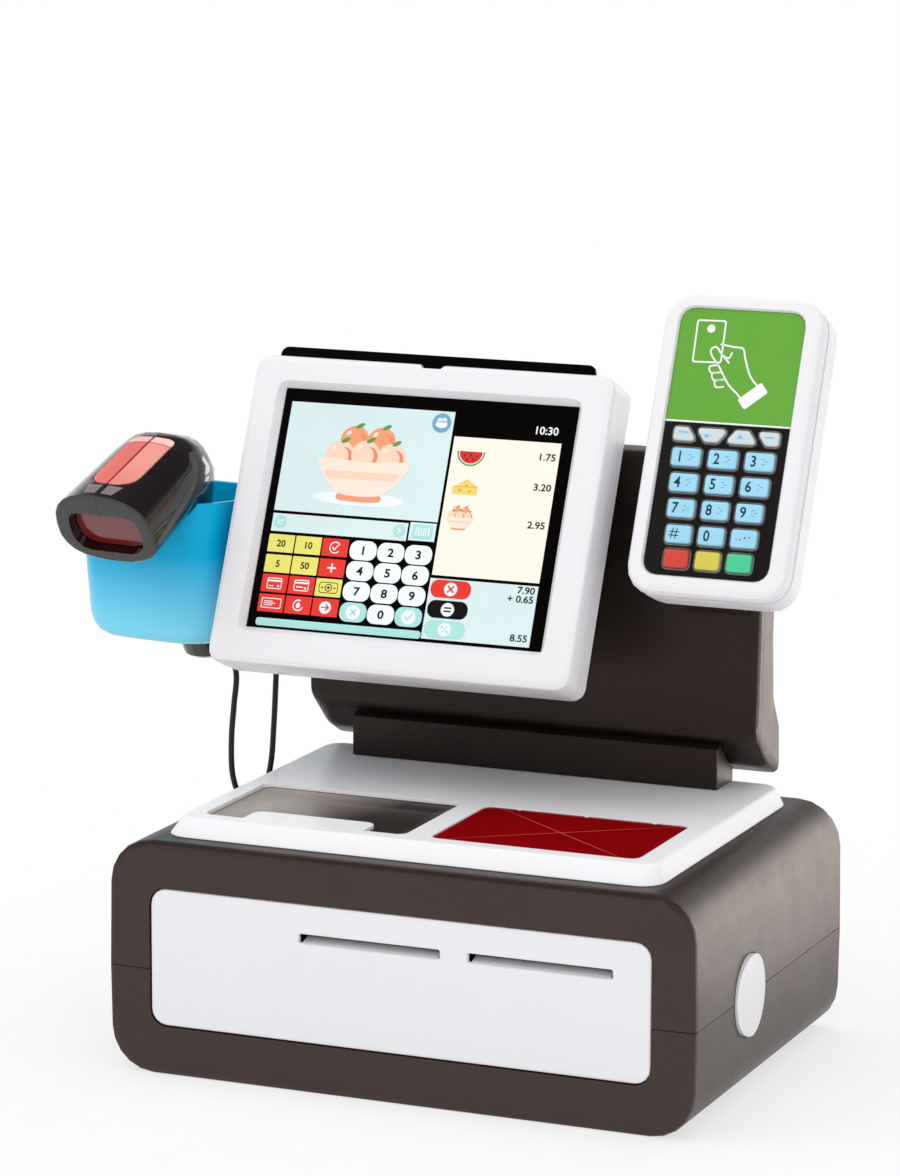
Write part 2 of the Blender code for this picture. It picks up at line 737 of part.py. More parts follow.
def make_deck():
    low_z = BASE_HEIGHT + GAP
    top_z = BASE_HEIGHT + DECK_RISE
    low = rectangle((-DECK_LOW_HALF_WIDTH, DECK_LOW_HALF_WIDTH), DECK_LOW_Y)
    top = rectangle((-DECK_TOP_HALF_WIDTH, DECK_TOP_HALF_WIDTH), DECK_TOP_Y)
    deck = stack(
        "top_deck",
        [
            (low_z, outline(low, DECK_CORNER)),
            (top_z - 0.9 * DECK_EDGE, outline(top, DECK_CORNER - 0.003, -0.45 * DECK_EDGE)),
            (top_z - 0.25 * DECK_EDGE, outline(top, DECK_CORNER - 0.003, 0.25 * DECK_EDGE)),
            (top_z, outline(top, DECK_CORNER - 0.003, DECK_EDGE)),
        ],
        "white gloss",
    )
    hollow = stack(
        "deck_hollow",
        [
            (low_z - 0.004, outline(low, DECK_CORNER, WALL)),
            (low_z, outline(low, DECK_CORNER, WALL)),
            (top_z - WALL, outline(top, DECK_CORNER - 0.003, WALL)),
        ],
    )
    cut(deck, hollow)
    ceiling = top_z - WALL
    for name, centre in (("tray_opening", WINDOW_CENTRES[0]), ("pane_opening", WINDOW_CENTRES[1])):
        x_range = (centre - WINDOW_WIDTH / 2, centre + WINDOW_WIDTH / 2)
        hole = prism(name, outline(rectangle(x_range, WINDOW_Y), WINDOW_CORNER), ceiling - 0.002, top_z + 0.002)
        if name == "tray_opening":
            tab = rectangle(
                (centre - TAB_WIDTH / 2, centre + TAB_WIDTH / 2), (WINDOW_Y[0] - 0.01, WINDOW_Y[0] + TAB_DEPTH)
            )
            tongue = prism("tray_tab", outline(tab, (0.001, 0.001, TAB_CORNER, TAB_CORNER)), ceiling - 0.003,
                           top_z + 0.003)
            cut(hole, tongue)
        cut(deck, hole)

    plate = rectangle(
        (WINDOW_CENTRES[0] - WINDOW_WIDTH / 2, WINDOW_CENTRES[0] + WINDOW_WIDTH / 2), WINDOW_Y
    )
    tray_top = ceiling - GAP
    tray = prism(
        "change_tray", outline(plate, WINDOW_CORNER + WINDOW_LIP, -WINDOW_LIP), tray_top - TRAY_PLATE, tray_top,
        "dark plastic", origin=(WINDOW_CENTRES[0], 0, tray_top),
    )
    dish = stack(
        "change_dish",
        [
            (tray_top - TRAY_DISH, outline(plate, 0.014, 0.012)),
            (tray_top - 0.4 * TRAY_DISH, outline(plate, 0.010, 0.004)),
            (tray_top + 0.001, outline(plate, 0.008, -0.001)),
        ],
    )
    cut(tray, dish)

    pane = rectangle(
        (WINDOW_CENTRES[1] - WINDOW_WIDTH / 2, WINDOW_CENTRES[1] + WINDOW_WIDTH / 2), WINDOW_Y
    )
    stack(
        "scan_window",
        [
            (ceiling - GAP - PANE_THICK, outline(pane, WINDOW_CORNER + WINDOW_LIP, -WINDOW_LIP)),
            (ceiling - GAP, outline(pane, WINDOW_CORNER + WINDOW_LIP, -WINDOW_LIP)),
            (ceiling - GAP, outline(pane, WINDOW_CORNER, GAP)),
            (top_z - 0.0007, outline(pane, WINDOW_CORNER, GAP)),
        ],
        "red window",
        origin=(WINDOW_CENTRES[1], 0, ceiling),
    )
    light_top = ceiling - 2 * GAP - PANE_THICK
    light = stack(
        "scan_light",
        [
            (light_top - 0.022, outline(pane, 0.006, 0.030, steps=2)),
            (light_top, outline(pane, 0.008, 0.004, steps=2)),
        ],
        "white plastic",
    )
    funnel = stack(
        "scan_light_funnel",
        [
            (light_top - 0.020, outline(pane, 0.004, 0.0325, steps=2)),
            (light_top + 0.002, outline(pane, 0.006, 0.0040, steps=2)),
        ],
    )
    cut(light, funnel)


# Mast

MAST_PROFILE = (
    ((0.0960, MAST_TOP), 0.003),
    ((0.0870, 0.1890), 0.010),
    ((0.1100, 0.1689), 0.030),
    ((0.1332, 0.1595), 0.0025),
    ((0.1320, 0.1890), 0.007),
    ((0.1205, 0.2090), 0.014),
    (MAST_WAIST, 0.030),
    ((MAST_BACK_TOP, MAST_TOP), 0.004),
)
MAST_FRONT_FOOT = Vector((0.0870, 0.1890))
MAST_FRONT_HEAD = Vector((0.0960, MAST_TOP))


def mast_front_at(height):
    slope = (MAST_FRONT_HEAD.x - MAST_FRONT_FOOT.x) / (MAST_FRONT_HEAD.y - MAST_FRONT_FOOT.y)
    return MAST_FRONT_FOOT.x + slope * (height - MAST_FRONT_FOOT.y)


def mast_ring(x, from_end, inset, edge_inset):
    """The profile at one place across, drawn in near the end so that the panel's corners are round."""
    corners = [corner for corner, _ in MAST_PROFILE]
    radii = [radius for _, radius in MAST_PROFILE]
    points = outline(corners, radii, inset + edge_inset, steps=2)
    front_r = max(MAST_LOW_CORNER - inset, 0.001)
    bulge_r = max(MAST_BULGE_CORNER - inset, 0.001)
    top_r = max(MAST_TOP_CORNER - inset, 0.001)
    drop = top_r - (top_r**2 - max(top_r - from_end, 0) ** 2) ** 0.5
    front_y, bulge_y = MAST_FRONT_FOOT.x, max(y for y, _ in points)
    low_z, low_end = min(z for _, z in points), 0.235
    top_z, top_start = max(z for _, z in points), 0.325
    ring = []
    for y, z in points:
        back = min(max((y - front_y) / (bulge_y - front_y), 0.0), 1.0)
        low_r = front_r + (bulge_r - front_r) * back
        lift = low_r - (low_r**2 - max(low_r - from_end, 0) ** 2) ** 0.5
        if z < low_end:
            z = low_z + lift + (z - low_z) * (low_end - low_z - lift) / (low_end - low_z)
        if z > top_start:
            z = top_start + (z - top_start) * (top_z - drop - top_start) / (top_z - top_start)
        ring.append((x, y, z))
    return ring


def mast_body(name, inset, finish=None):
    edge = MAST_EDGE if finish else 0.0
    distances = (0.0, 0.0010, 0.0028, 0.0072, MAST_LOW_CORNER - inset)
    if not finish:
        distances = (0.0, 0.0020, 0.0060, MAST_LOW_CORNER - inset)
    rings = []
    for side, x_end in ((1, MAST_LEFT + inset), (-1, MAST_RIGHT - inset)):
        half = []
        for distance in distances:
            narrow = edge - (edge**2 - max(edge - distance, 0) ** 2) ** 0.5 if edge else 0.0
            half.append(mast_ring(x_end + side * distance, distance, inset, narrow))
        rings += half if side == 1 else half[::-1]
    return body(name, rings, finish)


def seam_block(name, near, far):
    """A slab between two planes parallel to the mast's front face, for splitting its shells."""
    along = (MAST_FRONT_HEAD - MAST_FRONT_FOOT).normalized()
    back = Vector((along.y, -along.x))
    foot = MAST_FRONT_FOOT - along * 0.08
    head = MAST_FRONT_HEAD + along * 0.04
    corners = [foot + back * near, foot + back * far, head + back * far, head + back * near]
    return prism(name, [tuple(corner) for corner in corners], MAST_LEFT - 0.02, MAST_RIGHT + 0.02, plane="YZ")


def make_mast():
    front = mast_body("mast_front_shell", 0.0, "dark plastic")
    rear = mast_body("mast_rear_shell", 0.0, "dark plastic")
    hollow = mast_body("mast_hollow", WALL)
    cut(front, seam_block("mast_front_side", -0.03, MAST_SEAM_DEPTH - GAP / 2), "INTERSECT")
    cut(rear, seam_block("mast_rear_side", MAST_SEAM_DEPTH + GAP / 2, 0.09), "INTERSECT")
    cut(front, hollow)
    cut(rear, hollow)

    under = (Vector((0.0870, 0.1890)), Vector((0.1100, 0.1689)), Vector((0.1332, 0.1595)))
    first = (under[1] - under[0]).normalized()
    down = Vector((first.y, -first.x)) * GAP * 1.5
    second = (under[2] - under[1]).normalized()
    down_second = Vector((second.y, -second.x)) * GAP * 1.5
    foot_profile = [
        (FOOT_FRONT, LEVELS_FROM + GAP),
        (FOOT_REAR, LEVELS_FROM + GAP),
        tuple(under[1] + down_second + second * (FOOT_REAR - under[1].x) / second.x),
        tuple(under[1] + (down + down_second) / 2 + first * 0.001 - Vector((0, 0.0004))),
        tuple(under[0] + down + first * 0.0052),
        (FOOT_FRONT, under[0].y - 0.0058),
    ]
    prism(
        "mast_foot",
        foot_profile,
        FOOT_CENTRE - FOOT_HALF_WIDTH,
        FOOT_CENTRE + FOOT_HALF_WIDTH,
        "dark plastic",
        plane="YZ",
        edge=0.0008,
    )

    waist_y, waist_z = MAST_WAIST
    rear_inside = waist_y - WALL
    speaker_x, speaker_z = SPEAKER_CENTRE
    for k in range(SPEAKER_SLOTS):
        x = speaker_x + (k - (SPEAKER_SLOTS - 1) / 2) * SPEAKER_PITCH
        reach = (SPEAKER_SLOT[1] ** 2 - (2 * (x - speaker_x)) ** 2 * 0.6) ** 0.5
        cut(rear, prism(
            f"speaker_slot_{k}",
            outline(centred(x, SPEAKER_SLOT[0], speaker_z, reach), SPEAKER_SLOT[0] / 2 - 0.0001, steps=2),
            rear_inside - 0.006, waist_y + 0.012, plane="XZ",
        ))
    slope = (MAST_BACK_TOP - waist_y) / (MAST_TOP - waist_z)
    lean = atan2(1.0, slope)
    place_y = rear_inside + (speaker_z - waist_z) * slope
    speaker_frame = frame("speaker_frame", (speaker_x, place_y, speaker_z), (lean, 0, 0))
    turned("speaker", SPEAKER_RADIUS, 0.0006, SPEAKER_DEPTH, "cell metal", parent=speaker_frame, sides=20)
    board_z = 0.300
    place_y = rear_inside + (board_z - waist_z) * slope
    board_frame = frame("board_frame", (-0.060, place_y, board_z), (lean, 0, 0))
    prism(
        "circuit_board",
        rectangle((-CIRCUIT_SIZE[0] / 2, CIRCUIT_SIZE[0] / 2), (-CIRCUIT_SIZE[1] / 2, CIRCUIT_SIZE[1] / 2)),
        0.0050 + GAP,
        0.0050 + GAP + CIRCUIT_THICK,
        "circuit green",
        parent=board_frame,
    )
    for k, (sx, sy) in enumerate(((-1, -1), (1, -1), (1, 1), (-1, 1))):
        post = turned(
            f"board_post_{k}", 0.003, -0.001, 0.0050, parent=board_frame, sides=10,
            centre=(sx * (CIRCUIT_SIZE[0] / 2 - 0.006), sy * (CIRCUIT_SIZE[1] / 2 - 0.006)),
        )
        join(rear, post)

    relief = turned(
        "cord_relief_mast", RELIEF_RADIUS, MAST_LEFT - RELIEF_LENGTH, MAST_LEFT - GAP, "cord rubber",
        plane="YZ", centre=(CORD_EXIT_Y, CORD_EXIT_Z), sides=16,
    )
    flare = relief.modifiers.new("rounded end", "BEVEL")
    flare.width = 0.0012
    flare.segments = 2
    flare.limit_method = "ANGLE"
    flare.angle_limit = radians(50)


# Screen


def make_screen(face):
    shape = rectangle(SCREEN_X, SCREEN_Y)
    window = rectangle(SCREEN_OPENING_X, SCREEN_OPENING_Y)
    edge = SCREEN_EDGE
    bezel = stack(
        "screen_bezel",
        [
            (SCREEN_SEAM + GAP / 2, outline(shape, SCREEN_CORNER, 0.0)),
            (SCREEN_FRONT - edge, outline(shape, SCREEN_CORNER, 0.0)),
            (SCREEN_FRONT - 0.3 * edge, outline(shape, SCREEN_CORNER, 0.3 * edge)),
            (SCREEN_FRONT, outline(shape, SCREEN_CORNER, edge)),
        ],
        "white plastic",
        face,
    )
    lip = GAP
    inner = stack(
        "bezel_room",
        [(SCREEN_SEAM - 0.01, outline(shape, SCREEN_CORNER, WALL)), (lip, outline(shape, SCREEN_CORNER, WALL))],
        parent=face,
    )
    ring = stack(
        "bezel_channel",
        [
            (lip - 0.002, outline(shape, SCREEN_CORNER, WALL)),
            (SCREEN_FRONT - WALL, outline(shape, SCREEN_CORNER, WALL + 0.001)),
        ],
        parent=face,
    )
    island = prism(
        "bezel_island", outline(window, 0.003, -SCREEN_BEVEL - WALL), lip - 0.004, SCREEN_FRONT + 0.01, parent=face
    )
    cut(ring, island)
    opening = stack(
        "bezel_opening",
        [
            (lip - 0.002, outline(window, 0.0012, 0.0, steps=2)),
            (0.0016, outline(window, 0.0012, 0.0, steps=2)),
            (SCREEN_FRONT + 0.001, outline(window, 0.0030, -SCREEN_BEVEL * 1.2, steps=2)),
        ],
        parent=face,
    )
    card_way = prism(
        "card_way",
        rectangle((CARD_X[0] - SLIDE_GAP, CARD_X[1] + SLIDE_GAP), (SCREEN_Y[1] - 2 * WALL, SCREEN_Y[1] + 0.01)),
        -CARD_THICK - SLIDE_GAP,
        GAP,
        parent=face,
    )
    notch = prism(
        "bezel_notch",
        outline(
            [
                (NOTCH_X - NOTCH_RADIUS - 0.002, SCREEN_Y[1] + 0.004),
                (NOTCH_X - NOTCH_RADIUS + 0.003, SCREEN_Y[1] - NOTCH_DEPTH),
                (NOTCH_X + NOTCH_RADIUS - 0.003, SCREEN_Y[1] - NOTCH_DEPTH),
                (NOTCH_X + NOTCH_RADIUS + 0.002, SCREEN_Y[1] + 0.004),
            ],
            0.0018,
            steps=3,
        ),
        -0.0012,
        SCREEN_FRONT + 0.004,
        parent=face,
    )
    for tool in (inner, ring, opening, card_way, notch):
        cut(bezel, tool)

    rim = -SCREEN_RIM_DEPTH
    tongue = WALL + GAP
    back = rectangle(
        (SCREEN_X[0] + SCREEN_BACK_INSET_X, SCREEN_X[1] - SCREEN_BACK_INSET_X), SCREEN_BACK_Y
    )
    plate_low = -CARD_THICK - GAP - 0.0022
    rear = stack(
        "screen_rear_shell",
        [
            (-SCREEN_BACK_DEPTH, outline(back, 0.006, 0.0022)),
            (-SCREEN_BACK_DEPTH + 0.0006, outline(back, 0.006, 0.0008)),
            (-SCREEN_BACK_DEPTH + 0.0022, outline(back, 0.006, 0.0)),
            (rim, outline(back, 0.006, -0.0006)),
            (rim, outline(shape, SCREEN_CORNER, 0.0034)),
            (rim + 0.0010, outline(shape, SCREEN_CORNER, 0.0019)),
            (rim + 0.0036, outline(shape, SCREEN_CORNER, 0.0009)),
            (SCREEN_SEAM - GAP / 2, outline(shape, SCREEN_CORNER, 0.0004)),
            (SCREEN_SEAM - GAP / 2, outline(shape, SCREEN_CORNER, tongue)),
            (plate_low - GAP, outline(shape, SCREEN_CORNER, tongue)),
        ],
        "white plastic",
        face,
    )
    room = stack(
        "screen_room",
        [
            (-SCREEN_BACK_DEPTH + WALL, outline(back, 0.006, WALL + 0.0012)),
            (rim + WALL - 0.0006, outline(back, 0.006, WALL)),
            (rim + WALL, outline(shape, SCREEN_CORNER, tongue + 0.0032)),
            (plate_low + 0.004, outline(shape, SCREEN_CORNER, tongue + 0.0020)),
        ],
        parent=face,
    )
    cut(rear, room)

    plate = stack(
        "screen_backplate",
        [
            (plate_low, outline(shape, SCREEN_CORNER, tongue)),
            (0.0, outline(shape, SCREEN_CORNER, tongue)),
        ],
        "dark plastic",
        face,
    )
    pocket = prism(
        "card_pocket",
        rectangle((CARD_X[0] - GAP, CARD_X[1] + GAP), (CARD_Y[0] - GAP, SCREEN_Y[1] + 0.01)),
        -CARD_THICK - GAP,
        0.004,
        parent=face,
    )
    cut(plate, pocket)
    prism(
        "screen_card",
        outline(rectangle(CARD_X, CARD_Y), (0.001, 0.001, CARD_CORNER, CARD_CORNER)),
        -CARD_THICK,
        0.0,
        "screen print",
        face,
        origin=(0, 0, 0),
    )


def face_to_world(face_y, face_z):
    """World (y, z) of a point given up and outward in the tilted plane."""
    up = Vector((sin(FACE_LEAN), cos(FACE_LEAN)))
    out = Vector((-cos(FACE_LEAN), sin(FACE_LEAN)))
    return Vector((FACE_ORIGIN[1], FACE_ORIGIN[2])) + up * face_y + out * face_z


def make_mounts():
    """Boots that carry the screen and the pin pad on the mast's front."""
    middle = (SCREEN_X[0] + SCREEN_X[1]) / 2
    sets = (
        ("screen_mount", (middle - SCREEN_MOUNT_WIDTH / 2, middle + SCREEN_MOUNT_WIDTH / 2),
         -SCREEN_BACK_DEPTH, 0.032, 0.118, 0.252, 0.350),
        ("pinpad_mount", PAD_MOUNT_X, PAD_BACK, 0.056, 0.120, 0.268, 0.352),
    )
    for name, x_range, back, low, high, mast_low, mast_high in sets:
        near = [face_to_world(low, back - GAP), face_to_world(high, back - GAP)]
        profile = [
            tuple(near[0]),
            (mast_front_at(mast_low) - GAP, mast_low),
            (mast_front_at(mast_high) - GAP, mast_high),
            tuple(near[1]),
        ]
        prism(name, profile, x_range[0], x_range[1], "dark plastic", plane="YZ")


# Pin pad


def key_pitch(row):
    """The columns spread a little towards the top of the keypad."""
    share = (row - KEY_ROWS[4]) / (KEY_ROWS[0] - KEY_ROWS[4])
    return KEY_PITCH_LOW + (KEY_PITCH_HIGH - KEY_PITCH_LOW) * share


def key_shapes():
    """Each key's name, its corners in the tilted plane, counter-clockwise, and its finish."""
    low, high = SOFT_ROW - SOFT_HEIGHT / 2, SOFT_ROW + SOFT_HEIGHT / 2
    left, right = KEY_CENTRE - SOFT_SPAN / 2, KEY_CENTRE + SOFT_SPAN / 2
    tip = SOFT_BASE - 2 * SOFT_LEAN
    second = left + SOFT_SIDE + SOFT_GAP
    third = second + SOFT_BASE + SOFT_GAP
    fourth = third + tip + SOFT_GAP
    shapes = (
        ("soft_key_a", [(left, low), (left + SOFT_SIDE + SOFT_LEAN, low), (left + SOFT_SIDE, high), (left, high)]),
        ("soft_key_b", [(second + SOFT_LEAN, low), (second + SOFT_BASE - SOFT_LEAN, low),
                        (second + SOFT_BASE, high), (second, high)]),
        ("soft_key_c", [(third - SOFT_LEAN, low), (third + tip + SOFT_LEAN, low), (third + tip, high),
                        (third, high)]),
        ("soft_key_d", [(fourth + SOFT_LEAN, low), (right, low), (right, high), (fourth, high)]),
    )
    keys = [(name, corners, "pale key") for name, corners in shapes]
    labels = (("1", "2", "3"), ("4", "5", "6"), ("7", "8", "9"), ("sign", "0", "dots"))
    for row, names in zip(KEY_ROWS, labels):
        pitch = key_pitch(row)
        for column, name in zip((-1, 0, 1), names):
            corners = centred(KEY_CENTRE + column * pitch, KEY_FILL * pitch, row, KEY_HEIGHT)
            keys.append(("key_" + name, corners, "pale blue key"))
    pitch = key_pitch(KEY_ROWS[4])
    for column, name in zip((-1, 0, 1), ("red", "yellow", "green")):
        corners = centred(KEY_CENTRE + column * pitch, KEY_FILL * pitch, KEY_ROWS[4], KEY_HEIGHT)
        keys.append((name + "_key", corners, name + " key"))
    return keys


def make_pin_pad(face):
    shape = rectangle(PAD_X, PAD_Y)
    opening = rectangle(PAD_OPENING_X, PAD_OPENING_Y)
    edge = PAD_EDGE
    front = stack(
        "pinpad_front_shell",
        [
            (PAD_SEAM + GAP / 2, outline(shape, PAD_CORNER, PAD_GROOVE_DEPTH)),
            (PAD_GROOVE_TOP - 0.0003, outline(shape, PAD_CORNER, PAD_GROOVE_DEPTH)),
            (PAD_GROOVE_TOP, outline(shape, PAD_CORNER, 0.0)),
            (PAD_FRONT - 0.62 * edge, outline(shape, PAD_CORNER, 0.08 * edge)),
            (PAD_FRONT - 0.2 * edge, outline(shape, PAD_CORNER, 0.4 * edge)),
            (PAD_FRONT, outline(shape, PAD_CORNER, edge)),
        ],
        "white plastic",
        face,
    )
    cavity = prism(
        "pad_front_room", outline(shape, PAD_CORNER, WALL + PAD_GROOVE_DEPTH), PAD_SEAM - 0.006, PAD_FACE - 0.0022,
        parent=face,
    )
    hole = stack(
        "pad_opening",
        [
            (PAD_FACE - 0.006, outline(opening, PAD_OPENING_CORNER)),
            (PAD_FACE + 0.0004, outline(opening, PAD_OPENING_CORNER)),
            (PAD_FRONT + 0.001, outline(opening, PAD_OPENING_CORNER, -0.0016)),
        ],
        parent=face,
    )
    cut(front, cavity)
    cut(front, hole)

    rear = stack(
        "pinpad_rear_shell",
        [
            (PAD_BACK, outline(shape, PAD_CORNER, 0.0062)),
            (PAD_BACK + 0.0014, outline(shape, PAD_CORNER, 0.0030)),
            (PAD_BACK + 0.0048, outline(shape, PAD_CORNER, 0.0012)),
            (PAD_SEAM - GAP / 2, outline(shape, PAD_CORNER, 0.0003)),
        ],
        "white plastic",
        face,
    )
    room = stack(
        "pad_rear_room",
        [
            (PAD_BACK + WALL, outline(shape, PAD_CORNER, WALL + 0.004)),
            (PAD_SEAM + 0.002, outline(shape, PAD_CORNER, WALL + PAD_GROOVE_DEPTH)),
        ],
        parent=face,
    )
    cut(rear, room)

    low_y = PAD_LABEL_LOW
    label_shape = rectangle(
        (PAD_OPENING_X[0] + GAP, PAD_OPENING_X[1] - GAP), (low_y, PAD_OPENING_Y[1] - GAP)
    )
    corner = PAD_OPENING_CORNER
    prism(
        "pinpad_label",
        outline(label_shape, (0.0006, 0.0006, corner, corner)),
        PAD_FACE - FRAME_THICK,
        PAD_FACE,
        "green label",
        face,
    )
    pad_shape = rectangle(
        (PAD_OPENING_X[0] + GAP, PAD_OPENING_X[1] - GAP), (PAD_OPENING_Y[0] + GAP, low_y - GAP)
    )
    keypad = prism(
        "keypad_frame",
        outline(pad_shape, (corner, corner, 0.0006, 0.0006)),
        PAD_FACE - FRAME_THICK,
        PAD_FACE,
        "black gloss",
        face,
    )
    keys = key_shapes()
    for name, corners, _ in keys:
        rim_shape = outline(corners, KEY_CORNER, -KEY_CLEARANCE - KEY_WELL_RIM, steps=2)
        rim_top = outline(corners, KEY_CORNER, -KEY_CLEARANCE - 0.35 * KEY_WELL_RIM, steps=2)
        well = stack(
            "well_" + name,
            [(PAD_FACE - 0.001, rim_shape), (PAD_FACE + KEY_WELL_RISE, rim_top)],
            parent=face,
        )
        join(keypad, well)
    for name, corners, finish in keys:
        hole = prism(
            "hole_" + name, outline(corners, KEY_CORNER, -KEY_CLEARANCE, steps=2), PAD_FACE - FRAME_THICK - 0.001,
            PAD_FACE + 0.003, parent=face,
        )
        cut(keypad, hole)
        middle = sum((Vector(corner) for corner in corners), Vector((0, 0))) / len(corners)
        flange_top = PAD_FACE - FRAME_THICK - GAP
        side = outline(corners, KEY_CORNER, 0.0, steps=2)
        wide = outline(corners, KEY_CORNER, -KEY_CLEARANCE - KEY_FLANGE, steps=2)
        stack(
            name,
            [
                (flange_top - KEY_FLANGE_THICK, wide),
                (flange_top, wide),
                (flange_top, side),
                (KEY_TOP - 0.0016, side),
                (KEY_TOP - 0.0004, outline(corners, KEY_CORNER, 0.0005, steps=2)),
                (KEY_TOP, outline(corners, KEY_CORNER, 0.0014, steps=2)),
            ],
            finish,
            face,
            origin=(middle.x, middle.y, KEY_TOP),
        )


# Scanner: stations run from the nose back over the head and down the handle.
# Each holds the inner and the outer point in side view (forward, up), the half width and the top's taper.
GUN_STATIONS = (
    ((0.0888, 0.2942), (0.1101, 0.3368), 0.0378, 0.12),
    ((0.0876, 0.2936), (0.1102, 0.3384), 0.0392, 0.12),
    ((0.0730, 0.3018), (0.0930, 0.3452), 0.0390, 0.13),
    ((0.0580, 0.3098), (0.0705, 0.3550), 0.0383, 0.14),
    ((0.0490, 0.3150), (0.0525, 0.3630), 0.0374, 0.14),
    ((0.0458, 0.3155), (0.0385, 0.3684), 0.0362, 0.13),
    ((0.0440, 0.3130), (0.0215, 0.3655), 0.0345, 0.12),
    ((0.0425, 0.3095), (0.0085, 0.3540), 0.0315, 0.10),
    ((0.0410, 0.3045), (0.0035, 0.3355), 0.0262, 0.05),
    ((0.0382, 0.2965), (0.0030, 0.3160), 0.0215, 0.0),
    ((0.0294, 0.2780), (-0.0030, 0.2942), 0.0186, 0.0),
    ((0.0146, 0.2488), (-0.0172, 0.2645), 0.0169, 0.0),
    ((-0.0013, 0.2175), (-0.0326, 0.2331), 0.0160, 0.0),
    ((-0.0043, 0.2162), (-0.0314, 0.2297), 0.0140, 0.0),
)
HEAD_END = 9
HANDLE_TOP = 10
HANDLE_LOW = 12
GUN_SIDES = 24


def station_middle(k):
    inner, outer = GUN_STATIONS[k][:2]
    return (Vector(inner) + Vector(outer)) / 2


def gun_ring(station, grow):
    """A rounded section between the inner and the outer point; it narrows towards the outer one by the taper."""
    inner, outer, half_width, taper = station
    inner, outer = Vector(inner), Vector(outer)
    middle = (inner + outer) / 2
    reach = (outer - inner).length / 2 + grow
    along = (outer - inner).normalized()
    wide = half_width + grow
    ring = []
    for k in range(GUN_SIDES):
        angle = 2 * pi * k / GUN_SIDES
        c, s = cos(angle), sin(angle)
        across = wide * (abs(c) ** 0.8) * (1 if c >= 0 else -1)
        rise = reach * (abs(s) ** 0.8) * (1 if s >= 0 else -1)
        across *= 1 - taper * (rise / reach + 1) / 2
        point = middle + along * rise
        ring.append((across, -point.x, point.y))
    return ring


def gun_body(name, grow=0.0, finish=None, parent=None, first=0, last=None, origin=(0, 0, 0)):
    rings = [gun_ring(station, grow) for station in GUN_STATIONS[first:last]]
    return body(name, rings, finish, parent, origin)


